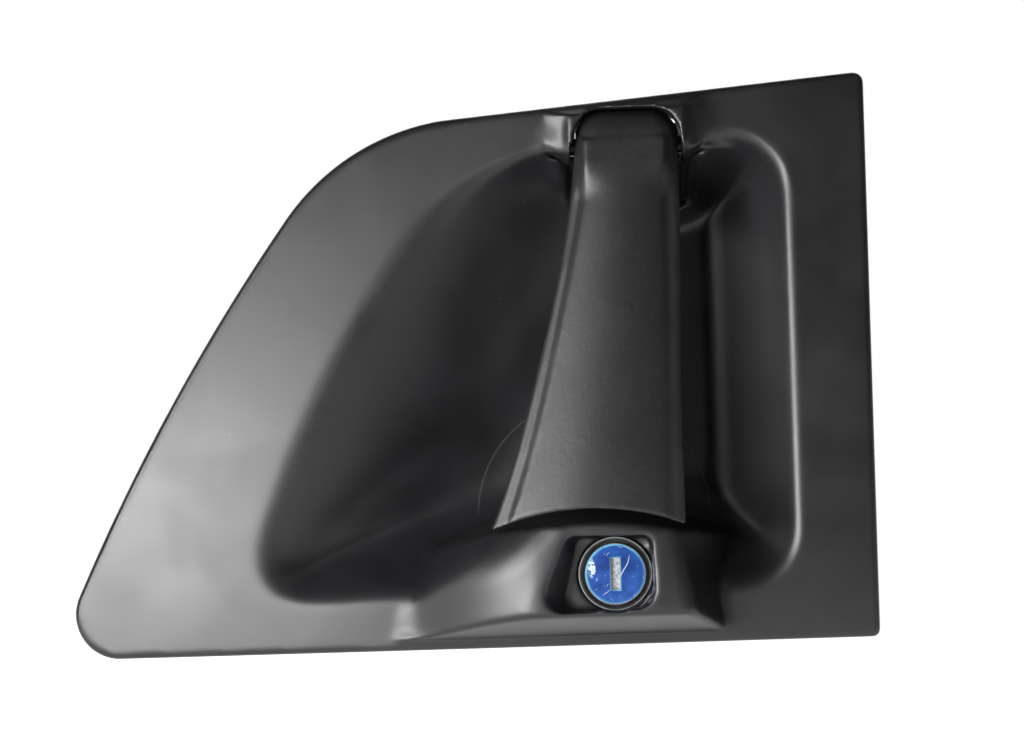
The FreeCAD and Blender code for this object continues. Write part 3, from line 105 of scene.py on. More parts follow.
class HandleShapes(bpy.types.PropertyGroup):
    """Sizes of the modelled surfaces."""

    skin_voxel: length_property(
        "Housing detail", "Edge length of the facets of the housing", 0.9)
    recess_floor: length_property(
        "Recess depth", "Depth of the recess floor behind the plane of the door", 25.0)
    pod_rise: length_property(
        "Lock pod height", "Height of the lock pod in front of the door", 38.0)
    plate_rise: length_property(
        "Plate height", "Height of the plate in front of the door", 14.5)
    hood_rise: length_property(
        "Hood height", "Height of the swelling round the top of the grip", 19.0)
    grip_crown: length_property(
        "Grip crown", "How far the front of the grip falls back at its edges", 4.0)
    grip_voxel: length_property(
        "Grip detail", "Edge length of the facets of the grip", 0.7)
    scuff_height: length_property(
        "Scuff height", "Height of the torn threads of film on the lock", 0.05)


class HandleColours(bpy.types.PropertyGroup):
    """Colours of the finishes."""

    moulding: colour_property("Moulding", "Black ABS of the housing", "#151517")
    moulding_dust: colour_property("Dust", "Dust and rubbed places on the black parts", "#8C8D90")
    grip: colour_property("Grip", "Black polyamide of the grip", "#1D1D1F")
    cover: colour_property("Back cover", "Black polypropylene behind the grip", "#202022")
    foam: colour_property("Gasket", "Closed-cell EPDM foam", "#161616")
    rubber: colour_property("Rubber", "Moulded nitrile rubber", "#1A1A1B")
    brass: colour_property("Brass", "Turned brass", "#B9924A")
    die_cast: colour_property("Zinc casting", "Bare zinc casting alloy", "#9A9C9E")
    barrel: colour_property("Lock barrel", "Black dip coating of the lock barrel", "#141415")
    steel: colour_property("Pin steel", "Black oxidised steel", "#2B2B2E")
    plating: colour_property("Zinc plating", "Bright zinc plating on steel", "#B4B7B8")
    spring: colour_property("Spring steel", "Phosphated spring steel", "#4C4D50")
    nylon: colour_property("Natural polyamide", "Undyed moulded polyamide", "#D9D5C4")
    clip: colour_property("Rod clip", "Green moulded polyamide", "#2F6B41")
    chrome: colour_property("Chrome", "Chromed sheet steel", "#C9CCD0")
    film: colour_property("Film", "Blue protective film on the lock", "#173F8E")
    # Colour of the painted highlight on the rim of the blue film and round its key slot
    film_edge_highlight: colour_property("Film edge", "Lit edge of the blue film", "#7FD3F5")
    scuff: colour_property("Scuff", "Torn and whitened film", "#DCE9F2")
    floor: colour_property("Floor", "Pale studio floor", "#F4F4F2")


class HandleStudio(bpy.types.PropertyGroup):
    """Camera, lamps and floor."""

    distance: length_property(
        "Camera distance", "From the camera to the front of the plate", 1400.0)
    view_width: length_property(
        "View width", "Width of the picture at the plate", 372.4)
    roll: bpy.props.FloatProperty(
        name="Roll", description="Turn of the camera round its line of sight",
        subtype="ANGLE", unit="ROTATION", default=math.radians(-1.8))
    key_power: bpy.props.FloatProperty(
        name="Key lamp", description="Power of the soft box at the lower left",
        subtype="POWER", unit="POWER", min=0.0, default=2.9)
    side_power: bpy.props.FloatProperty(
        name="Side lamp", description="Power of the tall soft box at the left",
        subtype="POWER", unit="POWER", min=0.0, default=5.2)
    fill_power: bpy.props.FloatProperty(
        name="Fill lamp", description="Power of the wide soft box at the upper right",
        subtype="POWER", unit="POWER", min=0.0, default=1.0)
    room_light: share_property("Room light", "Brightness of the room round the object", 0.08)


def shapes():
    return bpy.context.scene.handle_shapes


def colours():
    return bpy.context.scene.handle_colours


def studio():
    return bpy.context.scene.handle_studio


# Materials


def new_material(name, **constants):
    """A material with its shader's own sockets set to plain values."""
    material = bpy.data.materials.new(name)
    material.use_nodes = True
    shader = material.node_tree.nodes["Principled BSDF"]
    for socket, value in constants.items():
        shader.inputs[socket.replace("_", " ").title().replace("Ior", "IOR")].default_value = value
    return material, material.node_tree, shader


def add_node(tree, kind, inputs, settings=None, out=0):
    """Adds one node with its settings, and gives one of its outputs.

    Each input is a value, or the output of another node, which is linked.
    """
    node = tree.nodes.new(kind)
    for name, value in (settings or {}).items():
        setattr(node, name, value)
    for key, value in inputs.items():
        if isinstance(value, bpy.types.NodeSocket):
            tree.links.new(value, node.inputs[key])
        else:
            node.inputs[key].default_value = value
    return node.outputs[out]


def maths(tree, operation, *values):
    return add_node(tree, "ShaderNodeMath", dict(enumerate(values)), {"operation": operation})


def blend_colours(tree, factor, first, second):
    return add_node(tree, "ShaderNodeMix", {0: factor, 6: first, 7: second},
                    {"data_type": "RGBA"}, out=2)


def remap(tree, value, low, high, to_low=0.0, to_high=1.0):
    return add_node(tree, "ShaderNodeMapRange",
                    {0: value, 1: low, 2: high, 3: to_low, 4: to_high})


def noise(tree, place, size_mm, detail=2.0, rough=0.5):
    """Fractal noise whose largest lumps are about a given size."""
    return add_node(tree, "ShaderNodeTexNoise",
                    {"Vector": place, "Scale": 1 / (size_mm * MM), "Detail": detail,
                     "Roughness": rough})


def place_of(tree):
    return add_node(tree, "ShaderNodeTexCoord", {}, out=3)


def axes_of(tree, place):
    split = tree.nodes.new("ShaderNodeSeparateXYZ")
    tree.links.new(place, split.inputs[0])
    return split.outputs


def bump(tree, height, depth_mm, strength=1.0):
    return add_node(tree, "ShaderNodeBump",
                    {"Height": height, "Distance": depth_mm * MM, "Strength": strength})


def specks(tree, place, spacing_mm, size_mm, share):
    """Sparse round specks: a mask that is 1 on each."""
    cells = tree.nodes.new("ShaderNodeTexVoronoi")
    cells.inputs["Scale"].default_value = 1 / (spacing_mm * MM)
    tree.links.new(place, cells.inputs["Vector"])
    near = remap(tree, cells.outputs["Distance"], size_mm / spacing_mm, 0.4 * size_mm / spacing_mm)
    chosen = maths(tree, "LESS_THAN", axes_of(tree, cells.outputs["Color"])[0], share)
    return maths(tree, "MULTIPLY", near, chosen)


def from_axis(tree, axes, x_mm, z_mm):
    """Distance from a line along Y, in metres."""
    across = maths(tree, "SUBTRACT", axes[0], x_mm * MM)
    up = maths(tree, "SUBTRACT", axes[2], z_mm * MM)
    squares = maths(tree, "ADD", maths(tree, "MULTIPLY", across, across),
                    maths(tree, "MULTIPLY", up, up))
    return maths(tree, "SQRT", squares), across, up


# Places on the front, in millimetres

LOCK_X, LOCK_Z = -1.1, -60.1
BARREL_RADIUS = 13.2
BARREL_FRONT = -30.8
WITNESS_X, WITNESS_Z, WITNESS_RADIUS = -7.0, -40.0, 43.2
WITNESS_WIDTH, WITNESS_CORE = 0.45, 0.15
RECESS_FLOOR_FROM, RECESS_FLOOR_TO = 17, 22
SWIRL_INSIDE, SWIRL_OUTSIDE = (12.9, 13.8), (17.5, 14.5)
SWIRL_WAVE = 5200.0  # radians in a metre, so a ring each 1.2 mm
POCKET_DEEP, POCKET_SHALLOW = -36.0, -37.0


def moulded_abs():
    """ABS, injection moulded in a spark-eroded tool: deep black with a fine even grain.

    The grain spreads reflections into soft broad lights. A faint round witness line of the
    tool shows on the recess floor, with dust and the rubbed swirls that keys leave by the lock.
    """
    material, tree, shader = new_material("ABS moulded black", ior=1.54, specular_ior_level=0.5)
    place = place_of(tree)
    axes = axes_of(tree, place)
    # The real grain is 0.15 mm wide, too fine to show, so it is drawn 0.8 mm wide.
    grain = noise(tree, place, 0.8, 3.0, 0.6)
    cloud = noise(tree, place, 26.0, 3.0)
    dust = specks(tree, place, 5.0, 0.22, 0.10)
    # The witness line is the edge of a round insert in the tool, 86 mm across.
    radius, _, _ = from_axis(tree, axes, WITNESS_X, WITNESS_Z)
    off_line = maths(tree, "ABSOLUTE", maths(tree, "SUBTRACT", radius, WITNESS_RADIUS * MM))
    on_floor = remap(tree, axes[1], RECESS_FLOOR_FROM * MM, RECESS_FLOOR_TO * MM)
    line = remap(tree, off_line, WITNESS_WIDTH * MM, WITNESS_CORE * MM)
    witness = maths(tree, "MULTIPLY", line, on_floor)
    # Keys rub grey swirls into the wall of the pocket, right of the lock.
    radius, across, up = from_axis(tree, axes, LOCK_X, LOCK_Z)
    turn = maths(tree, "MULTIPLY", noise(tree, place, 6.0), 2.2 * MM)
    phase = maths(tree, "MULTIPLY", maths(tree, "ADD", radius, turn), SWIRL_WAVE)
    rings = maths(tree, "SINE", phase)
    band = maths(tree, "MULTIPLY", *(remap(tree, radius, start * MM, end * MM)
                                     for start, end in (SWIRL_INSIDE, SWIRL_OUTSIDE)))
    right = remap(tree, across, 3 * MM, 10 * MM)
    in_pocket = remap(tree, axes[1], POCKET_SHALLOW * MM, POCKET_DEEP * MM)
    low = remap(tree, up, 9 * MM, 4 * MM)
    patch = maths(tree, "MULTIPLY", maths(tree, "MULTIPLY", band, right),
                  maths(tree, "MULTIPLY", in_pocket, low))
    worn = maths(tree, "MULTIPLY", remap(tree, rings, -0.2, 0.9), patch)
    rub = maths(tree, "MAXIMUM", maths(tree, "MULTIPLY", worn, 0.75), dust)
    rub = maths(tree, "MAXIMUM", rub, maths(tree, "MULTIPLY", witness, 0.10))
    base = blend_colours(tree, remap(tree, cloud, 0.35, 0.7, 0.0, 0.6),
                         opaque(colours().moulding), opaque(hex_colour("#232326")))
    tree.links.new(blend_colours(tree, rub, base, opaque(colours().moulding_dust)),
                   shader.inputs["Base Color"])
    tree.links.new(remap(tree, cloud, 0.3, 0.7, 0.36, 0.42), shader.inputs["Roughness"])
    height = maths(tree, "SUBTRACT", grain, maths(tree, "MULTIPLY", witness, 0.8))
    tree.links.new(bump(tree, height, 0.05, 0.45), shader.inputs["Normal"])
    return material


PEBBLE_WIDTH = 1.1


def leather_grained_polyamide():
    """Glass-filled polyamide, moulded with a leather grain: grey-black pebbles that the hand
    has polished a little, though the lower end is drawn no shinier; the pebbles catch points of
    light.
    """
    material, tree, shader = new_material("Polyamide leather grained", ior=1.53,
                                          specular_ior_level=0.5)
    place = place_of(tree)
    # The pebbles are 1.1 mm wide and are drawn as they are.
    cells = add_node(tree, "ShaderNodeTexVoronoi",
                     {"Vector": place, "Scale": 1 / (PEBBLE_WIDTH * MM), "Randomness": 1.0},
                     {"feature": "SMOOTH_F1"})
    creases = noise(tree, place, 3.0, 3.0)
    grain = maths(tree, "ADD", maths(tree, "MULTIPLY", cells, 0.8), creases)
    cloud = noise(tree, place, 18.0, 2.0)
    dust = specks(tree, place, 4.0, 0.2, 0.06)
    base = blend_colours(tree, remap(tree, cells, 0.2, 0.8, 0.0, 0.7),
                         opaque(colours().grip), opaque(hex_colour("#29292B")))
    tree.links.new(blend_colours(tree, dust, base, opaque(colours().moulding_dust)),
                   shader.inputs["Base Color"])
    tree.links.new(remap(tree, cloud, 0.3, 0.7, 0.40, 0.46), shader.inputs["Roughness"])
    tree.links.new(bump(tree, grain, 0.06, 0.5), shader.inputs["Normal"])
    return material


def plain_polymer(name, colour, roughness, grain_mm, depth_mm, ior=1.5):
    """A moulded plastic or rubber with a grain and slightly uneven gloss."""
    material, tree, shader = new_material(name, ior=ior)
    place = place_of(tree)
    grain = noise(tree, place, grain_mm, 3.0, 0.6)
    cloud = noise(tree, place, 9.0)
    darker = [0.72 * part for part in colour[:3]]
    tree.links.new(blend_colours(tree, remap(tree, cloud, 0.3, 0.7), opaque(colour),
                                 opaque(darker)), shader.inputs["Base Color"])
    tree.links.new(remap(tree, cloud, 0.3, 0.7, roughness - 0.05, roughness + 0.07),
                   shader.inputs["Roughness"])
    tree.links.new(bump(tree, grain, depth_mm, 0.5), shader.inputs["Normal"])
    return material


def bare_metal(name, colour, roughness, stretch, grain_mm, depth_mm, stain="#6B6C6D"):
    """A metal whose grain is drawn out along one axis by how it was made."""
    material, tree, shader = new_material(name, metallic=1.0)
    place = place_of(tree)
    drawn = add_node(tree, "ShaderNodeMapping", {"Vector": place, "Scale": stretch})
    grain = noise(tree, drawn, grain_mm, 4.0, 0.6)
    cloud = noise(tree, place, 7.0, 3.0)
    tree.links.new(blend_colours(tree, remap(tree, cloud, 0.45, 0.8, 0.0, 0.5), opaque(colour),
                                 opaque(hex_colour(stain))), shader.inputs["Base Color"])
    tree.links.new(remap(tree, grain, 0.3, 0.7, roughness - 0.07, roughness + 0.08),
                   shader.inputs["Roughness"])
    tree.links.new(bump(tree, grain, depth_mm, 0.4), shader.inputs["Normal"])
    return material


def dipped_zinc():
    """Zinc casting with a black dip coating: dark and smooth, rubbed bright along its rim."""
    material, tree, shader = new_material("Zinc casting dipped black")
    place = place_of(tree)
    axes = axes_of(tree, place)
    radius, _, _ = from_axis(tree, axes, LOCK_X, LOCK_Z)
    patchy = noise(tree, place, 4.0, 3.0)
    rim = remap(tree, radius, (BARREL_RADIUS - 0.45) * MM, (BARREL_RADIUS - 0.15) * MM)
    front = remap(tree, axes[1], (BARREL_FRONT + 0.5) * MM, BARREL_FRONT * MM)
    bright = maths(tree, "MULTIPLY", maths(tree, "MULTIPLY", rim, front),
                   remap(tree, patchy, 0.35, 0.5, 0.35, 1.0))
    tree.links.new(blend_colours(tree, bright, opaque(colours().barrel),
                                 opaque(colours().die_cast)), shader.inputs["Base Color"])
    tree.links.new(bright, shader.inputs["Metallic"])
    tree.links.new(remap(tree, patchy, 0.3, 0.7, 0.3, 0.42), shader.inputs["Roughness"])
    tree.links.new(bump(tree, noise(tree, place, 0.6), 0.02, 0.3), shader.inputs["Normal"])
    return material


SLOT_HALF_WIDTH, SLOT_HALF_HEIGHT = 1.6, 5.7
# Radii over which the painted highlight on the rim of the film fades in, in mm
RIM_HIGHLIGHT_FROM, RIM_HIGHLIGHT_TO = 10.3, 11.1
PATCH_X, PATCH_Z, PATCH_HALF_WIDTH, PATCH_HALF_HEIGHT = -8.5, 2.2, 1.5, 3.6


def blue_film():
    """Blue PET film on the chromed cap: a deep metallic blue, with a painted pale blue highlight
    on its lifted rim and the cut round the slot, a whitened patch at the left and fine scratches."""
    material, tree, shader = new_material("PET film blue on chrome", coat_weight=0.6,
                                          coat_roughness=0.12, metallic=0.55)
    place = place_of(tree)
    axes = axes_of(tree, place)
    radius, across, up = from_axis(tree, axes, LOCK_X, LOCK_Z)
    # Painted highlight on the rim of the film: brightest towards the upper left, down to 0.3 at
    # the lower right
    lit = maths(tree, "SUBTRACT", maths(tree, "MULTIPLY", up, 0.75),
                maths(tree, "MULTIPLY", across, 0.66))
    side = remap(tree, lit, -6 * MM, 8 * MM, 0.30, 1.0)
    ragged = maths(tree, "MULTIPLY", noise(tree, place, 2.0, 4.0), 0.9 * MM)
    rim = remap(tree, maths(tree, "ADD", radius, ragged), RIM_HIGHLIGHT_FROM * MM, RIM_HIGHLIGHT_TO * MM)
    rim = maths(tree, "MULTIPLY", rim, side)
    # Painted highlight along the cut round the key slot, stronger at the right of the slot
    beside = maths(tree, "SUBTRACT", maths(tree, "ABSOLUTE", across), SLOT_HALF_WIDTH * MM)
    above = maths(tree, "SUBTRACT", maths(tree, "ABSOLUTE", up), SLOT_HALF_HEIGHT * MM)
    off_slot = maths(tree, "MAXIMUM", beside, above)
    slot_edge_highlight = maths(tree, "MULTIPLY", remap(tree, off_slot, 0.55 * MM, 0.25 * MM),
                     remap(tree, across, -1.4 * MM, 1.0 * MM, 0.25, 0.9))
    # Both painted highlights together: the rim and the cut round the slot
    edge = maths(tree, "MAXIMUM", rim, slot_edge_highlight)
    # The whitened patch is 3 by 7 mm, a few millimetres in from the left edge.
    wide = maths(tree, "DIVIDE", maths(tree, "SUBTRACT", across, PATCH_X * MM),
                 PATCH_HALF_WIDTH * MM)
    tall = maths(tree, "DIVIDE", maths(tree, "SUBTRACT", up, PATCH_Z * MM),
                 PATCH_HALF_HEIGHT * MM)
    inside = maths(tree, "SUBTRACT", 1.0, maths(tree, "ADD", maths(tree, "MULTIPLY", wide, wide),
                                                maths(tree, "MULTIPLY", tall, tall)))
    crumbs = noise(tree, place, 1.1, 4.0, 0.7)
    patch = maths(tree, "MULTIPLY", remap(tree, inside, 0.0, 0.5),
                  remap(tree, crumbs, 0.44, 0.56))
    flecks = specks(tree, place, 1.7, 0.20, 0.22)
    white = maths(tree, "MAXIMUM", patch, maths(tree, "MULTIPLY", flecks, 0.8))
    cloud = noise(tree, place, 5.0, 3.0)
    base = blend_colours(tree, remap(tree, cloud, 0.35, 0.7), opaque(colours().film),
                         opaque(hex_colour("#2B62B8")))
    # The painted highlights are mixed into the blue in their pale blue colour
    base = blend_colours(tree, edge, base, opaque(colours().film_edge_highlight))
    tree.links.new(blend_colours(tree, white, base, opaque(colours().scuff)),
                   shader.inputs["Base Color"])
    tree.links.new(maths(tree, "ADD", 0.28, maths(tree, "MULTIPLY", white, 0.3)),
                   shader.inputs["Roughness"])
    tree.links.new(bump(tree, maths(tree, "ADD", crumbs, edge), 0.04, 0.35),
                   shader.inputs["Normal"])
    return material


def torn_film():
    """Torn threads of the film: whitened plastic with a blue cast."""
    return plain_polymer("PET film torn white", colours().scuff, 0.5, 0.5, 0.02)


def worn_shutter():
    """Stainless spring sheet that keys have scraped: mottled light and dark grey."""
    material, tree, shader = new_material("Stainless sheet scraped", metallic=0.8)
    place = place_of(tree)
    mottle = noise(tree, place, 0.9, 4.0, 0.7)
    tree.links.new(blend_colours(tree, remap(tree, mottle, 0.38, 0.62),
                                 opaque(hex_colour("#77797C")), opaque(hex_colour("#BDBFC2"))),
                   shader.inputs["Base Color"])
    tree.links.new(remap(tree, mottle, 0.3, 0.7, 0.35, 0.6), shader.inputs["Roughness"])
    tree.links.new(bump(tree, mottle, 0.05, 0.5), shader.inputs["Normal"])
    return material


def finish(node_names, material):
    """Gives CAD nodes one finish, in every slot that they have."""
    for name in node_names:
        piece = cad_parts[name]
        if not piece.material_slots:
            piece.data.materials.append(material)
        for slot in piece.material_slots:
            slot.material = material


# Front surface of the housing, in millimetres of height in front of the door


def soft_min(a, b, blend):
    overlap = np.maximum(blend - np.abs(a - b), 0.0) / blend
    return np.minimum(a, b) - overlap * overlap * blend / 4


def soft_max(a, b, blend):
    return -soft_min(-a, -b, blend)


def round_corner(a, b, radius):
    """Two edge distances joined by a corner of a given radius."""
    over = np.hypot(np.maximum(a + radius, 0.0), np.maximum(b + radius, 0.0))
    return np.minimum(np.maximum(a, b), -radius) + over


def ease(t):
    t = np.clip(t, 0.0, 1.0)
    return t * t * (3 - 2 * t)


RECESS_RIGHT, RECESS_TOP, RECESS_BOTTOM = 66.5, 99.0, -67.5
LEFT_SIDE_X, LEFT_SIDE_Z, LEFT_SIDE_RADIUS = 245.0, -170.0, 394.0
WALL_STEEPNESS = {"right": 1.6, "top": 1.5, "bottom": 1.2, "left": 0.6}
RIM_CORNERS = {("right", "top"): 26.0, ("left", "top"): 38.0,
               ("left", "bottom"): 27.0, ("right", "bottom"): 24.0}
STEEPNESS_BLEND, WALL_BLEND = 9.0, 7.0


def recess_bowl(x, z, plate):
    """The walls of the hand recess: sloping sides, joined by rounded corners at the rim."""
    sides = {
        "right": x - RECESS_RIGHT,
        "top": z - RECESS_TOP,
        "bottom": RECESS_BOTTOM - z,
        "left": np.hypot(x - LEFT_SIDE_X, z - LEFT_SIDE_Z) - LEFT_SIDE_RADIUS,
    }
    outside = np.maximum.reduce([round_corner(sides[one], sides[other], radius)
                                 for (one, other), radius in RIM_CORNERS.items()])
    weights = {side: np.exp(distance / STEEPNESS_BLEND) for side, distance in sides.items()}
    total = sum(weights.values())
    steepness = sum(weights[side] * WALL_STEEPNESS[side] for side in sides) / total
    bowl = plate + steepness * outside
    for side, distance in sides.items():
        bowl = soft_max(bowl, plate + WALL_STEEPNESS[side] * distance, WALL_BLEND)
    return bowl


POD_START, POD_CLIMB, POD_FOOT = -97.0, 69.0, 10.0
POD_MIDDLE, POD_HALF_WIDTH, POD_CROWN = -5.0, 40.0, 0.8
POD_EDGE_X, POD_EDGE_Z = -26.0, -43.0
POD_EDGE_ACROSS, POD_EDGE_UP = -0.72, 0.69
POD_CHAMFER, POD_FLANK = 13.0, 2.2
POD_RIGHT, POD_RIGHT_STEEPNESS = 21.0, 1.9
ARCH_TOP, ARCH_DROP, ARCH_MIDDLE, ARCH_HALF_WIDTH = -41.0, 4.5, -11.0, 35.0
ARCH_WALL = 14.0
POD_BLEND, ARCH_BLEND = 5.0, 2.5


def pod_height(x, z):
    """The lock pod: a ridge that climbs from the left, an arched top and sloping flanks."""
    rise = shapes().pod_rise / MM
    front = (POD_FOOT + (rise - POD_FOOT) * ease((x - POD_START) / POD_CLIMB)
             - POD_CROWN * ((x - POD_MIDDLE) / POD_HALF_WIDTH) ** 2)
    past_edge = POD_EDGE_ACROSS * (x - POD_EDGE_X) + POD_EDGE_UP * (z - POD_EDGE_Z)
    arch = ARCH_TOP - ARCH_DROP * ((x - ARCH_MIDDLE) / ARCH_HALF_WIDTH) ** 2
    height = soft_min(front, rise - past_edge, POD_BLEND)
    height = soft_min(height, rise - POD_CHAMFER - POD_FLANK * (past_edge - POD_CHAMFER),
                      POD_BLEND)
    past_right = x - POD_RIGHT + (z + 45.0) / 6.0  # the right edge leans by 1 in 6
    height = soft_min(height, rise - POD_RIGHT_STEEPNESS * past_right, POD_BLEND)
    return soft_min(height, rise - ARCH_WALL * (z - arch), ARCH_BLEND)


HOOD_LEFT, HOOD_RIGHT, HOOD_TOP, HOOD_BOTTOM = -10.0, 27.0, 106.0, 93.0
HOOD_SLOPE, HOOD_SLOPE_BELOW = 0.55, 1.6


def hood_height(x, z):
    """The low swelling round the hinge end of the grip."""
    beside = np.maximum.reduce([HOOD_LEFT - x, x - HOOD_RIGHT, 0.0 * x])
    above = np.maximum(z - HOOD_TOP, 0.0)
    below = np.maximum(HOOD_BOTTOM - z, 0.0)
    return (shapes().hood_rise / MM - HOOD_SLOPE * np.hypot(beside, above)
            - HOOD_SLOPE_BELOW * below)


# The plate is flat at the right and falls back by PLATE_FALL at its left end

PLATE_FLAT_FROM, PLATE_LENGTH, PLATE_FALL = 40.0, 237.0, 6.0
FLOOR_BLEND, RIM_BLEND, HOOD_BLEND, POD_FOOT_BLEND, LOWER_EDGE_BLEND = 9.0, 4.0, 4.0, 3.0, 2.0
LOWER_EDGE_Z, LOWER_EDGE_HEIGHT, LOWER_EDGE_STEEPNESS = -86.9, 4.0, 2.8


def front_height(x, z):
    """Height of the front of the housing in front of the plane of the door."""
    left_of_flat = np.minimum(x - PLATE_FLAT_FROM, 0.0)
    plate = shapes().plate_rise / MM - PLATE_FALL * (left_of_flat / PLATE_LENGTH) ** 2
    floor = -shapes().recess_floor / MM + 0.0 * x
    bowl = soft_max(recess_bowl(x, z, plate), floor, FLOOR_BLEND)
    height = soft_min(plate, bowl, RIM_BLEND)
    height = soft_max(height, hood_height(x, z), HOOD_BLEND)
    height = soft_max(height, pod_height(x, z), POD_FOOT_BLEND)
    lower_edge = LOWER_EDGE_HEIGHT + LOWER_EDGE_STEEPNESS * (z - LOWER_EDGE_Z)
    return soft_min(height, lower_edge, LOWER_EDGE_BLEND)


def arc_through(first, middle, last, count):
    """Points on the circular arc through three points, without the last."""
    (ax, az), (bx, bz), (cx, cz) = first, middle, last
    d = 2 * (ax * (bz - cz) + bx * (cz - az) + cx * (az - bz))
    a2, b2, c2 = ax * ax + az * az, bx * bx + bz * bz, cx * cx + cz * cz
    ux = (a2 * (bz - cz) + b2 * (cz - az) + c2 * (az - bz)) / d
    uz = (a2 * (cx - bx) + b2 * (ax - cx) + c2 * (bx - ax)) / d
    start = math.atan2(az - uz, ax - ux)
    turn = (math.atan2(cz - uz, cx - ux) - start + math.pi) % (2 * math.pi) - math.pi
    radius = math.hypot(ax - ux, az - uz)
    return [(ux + radius * math.cos(start + turn * i / count),
             uz + radius * math.sin(start + turn * i / count)) for i in range(count)]


def outline_points():
    """The outline of the plate seen from the front."""
    points = [(95.2, -86.9), (95.2, 116.0), (93.0, 118.9)]
    points += arc_through((-59.2, 105.9), (-91.5, 94.6), (-118.2, 69.6), 8)
    points += arc_through((-118.2, 69.6), (-158.3, 9.0), (-196.6, -63.5), 8)
    points += arc_through((-196.6, -63.5), (-195.6, -79.6), (-183.5, -86.9), 6)
    points.append((-183.5, -86.9))
    return points


POCKET_OUTLINE = [(-19.5, -45.6), (-33.0, -74.0), (12.9, -72.0), (12.6, -46.2)]


def distance_to(points, x, z):
    """Distance to a closed run of straight lines, negative inside it."""
    nearest = np.full(x.shape, 1e9)
    crossings = np.zeros(x.shape, dtype=bool)
    for (ax, az), (bx, bz) in zip(points, points[1:] + points[:1]):
        dx, dz = bx - ax, bz - az
        t = np.clip(((x - ax) * dx + (z - az) * dz) / (dx * dx + dz * dz), 0.0, 1.0)
        nearest = np.minimum(nearest, np.hypot(x - ax - t * dx, z - az - t * dz))
        if dz:
            spans = (az > z) != (bz > z)
            crossings ^= spans & (x < ax + (z - az) * dx / dz)
    return np.where(crossings, -nearest, nearest)


def relax(points, edges, weight, rounds):
    """Moves each point towards the middle of its neighbours, by its weight."""
    count = len(points)
    neighbours = np.bincount(edges.ravel(), minlength=count)[:, None]
    for _ in range(rounds):
        total = np.zeros_like(points)
        for axis in range(3):
            total[:, axis] = (
                np.bincount(edges[:, 0], points[edges[:, 1], axis], count)
                + np.bincount(edges[:, 1], points[edges[:, 0], axis], count))
        points += weight[:, None] * (total / np.maximum(neighbours, 1) - points)
    return points


# Which points of the housing move, in millimetres

WALL_LEAST, WALL_SEARCH = 2.2, -8.0
RIM_KEPT, RIM_FADE = 2.4, 5.0
POCKET_KEPT, POCKET_FADE, POCKET_FADE_SOFT = 1.5, 4.0, 3.0
HINGE_LEFT, HINGE_RIGHT, HINGE_BOTTOM, HINGE_TOP = -11.6, 28.4, 77.0, 108.7
HINGE_KEPT, HINGE_KEPT_SOFT, HINGE_FADE = 0.3, 0.6, 3.0
MOVE_MOST, MOVE_FADE = 9.0, 3.0
FACING_LEAST, FACING_FADE, FACING_BACK = 0.08, 0.25, -0.05


def shape_front(mesh):
    """Draws the front of a remeshed housing onto the smooth front surface."""
    points, facing, edges = mesh_arrays(mesh)
    x, y, z = points.T.copy()
    target = -front_height(x, z)
    to_pocket = distance_to(POCKET_OUTLINE, x, z)
    to_hinge = np.maximum.reduce([HINGE_LEFT - x, x - HINGE_RIGHT,
                                  HINGE_BOTTOM - z, z - HINGE_TOP])
    off_edge = ease((-distance_to(outline_points(), x, z) - RIM_KEPT) / RIM_FADE)
    off_pocket = ease((to_pocket - POCKET_KEPT) / POCKET_FADE)
    off_hinge = ease((to_hinge - HINGE_KEPT) / HINGE_FADE)
    frontal = ease((facing - FACING_LEAST) / FACING_FADE)
    near = 1.0 - ease((np.abs(target - y) - MOVE_MOST) / MOVE_FADE)
    weight = frontal * off_edge * off_pocket * off_hinge * near
    points[:, 1] += weight * (target - y)
    # The back of the wall gives way where the front now lies deeper.
    thin = y - target
    behind = (facing < FACING_BACK) & (thin < WALL_LEAST) & (thin > WALL_SEARCH)
    behind &= off_edge * off_pocket * off_hinge > 0.5
    points[:, 1] = np.where(behind, target + WALL_LEAST, points[:, 1])
    points = relax(points, edges, np.full(len(points), 0.5), 2)
    soft = frontal * off_edge * ease((to_hinge - HINGE_KEPT_SOFT) / HINGE_FADE)
    soft *= ease((to_pocket + 0.5) / POCKET_FADE_SOFT)
    points = relax(points, edges, 0.5 * soft, 10)
    put_points(mesh, points, "housing")


def new_piece(name, mesh, material, body):
    """A visible piece on one body, with one finish."""
    piece = bpy.data.objects.new(name, mesh)
    bpy.context.scene.collection.objects.link(piece)
    mesh.materials.clear()
    mesh.materials.append(material)
    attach(piece, body)
    return piece


LEAST_POINTS = 10000


def even_mesh(node, voxel):
    """The shape of a CAD node as an even, closed mesh."""
    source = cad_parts[node].copy()
    source.data = source.data.copy()
    source.parent = None
    source.matrix_world = Matrix.Identity(4)
    bpy.context.scene.collection.objects.link(source)
    remesh = source.modifiers.new("Even facets", "REMESH")
    remesh.mode = "VOXEL"
    remesh.voxel_size = voxel
    evaluated = source.evaluated_get(bpy.context.evaluated_depsgraph_get())
    mesh = bpy.data.meshes.new_from_object(evaluated)
    bpy.data.objects.remove(source)
    if len(mesh.vertices) < LEAST_POINTS:
        raise RuntimeError(f"{node} was not remeshed")
    return mesh


def mesh_arrays(mesh):
    """Points in millimetres, how far each faces the front, and the edges."""
    count = len(mesh.vertices)
    points = np.empty(count * 3)
    normals = np.empty(count * 3)
    edges = np.empty(len(mesh.edges) * 2, dtype=np.int64)
    mesh.vertices.foreach_get("co", points)
    mesh.vertices.foreach_get("normal", normals)
    mesh.edges.foreach_get("vertices", edges)
    return points.reshape(-1, 3) / MM, -normals.reshape(-1, 3)[:, 1], edges.reshape(-1, 2)


def put_points(mesh, points, node):
    """Gives the mesh its new points, kept inside the box of the node that it stands for."""
    low, high = (np.array(corner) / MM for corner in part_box(node))
    mesh.vertices.foreach_set("co", (np.clip(points, low, high) * MM).ravel())
    mesh.update()
    mesh.shade_smooth()


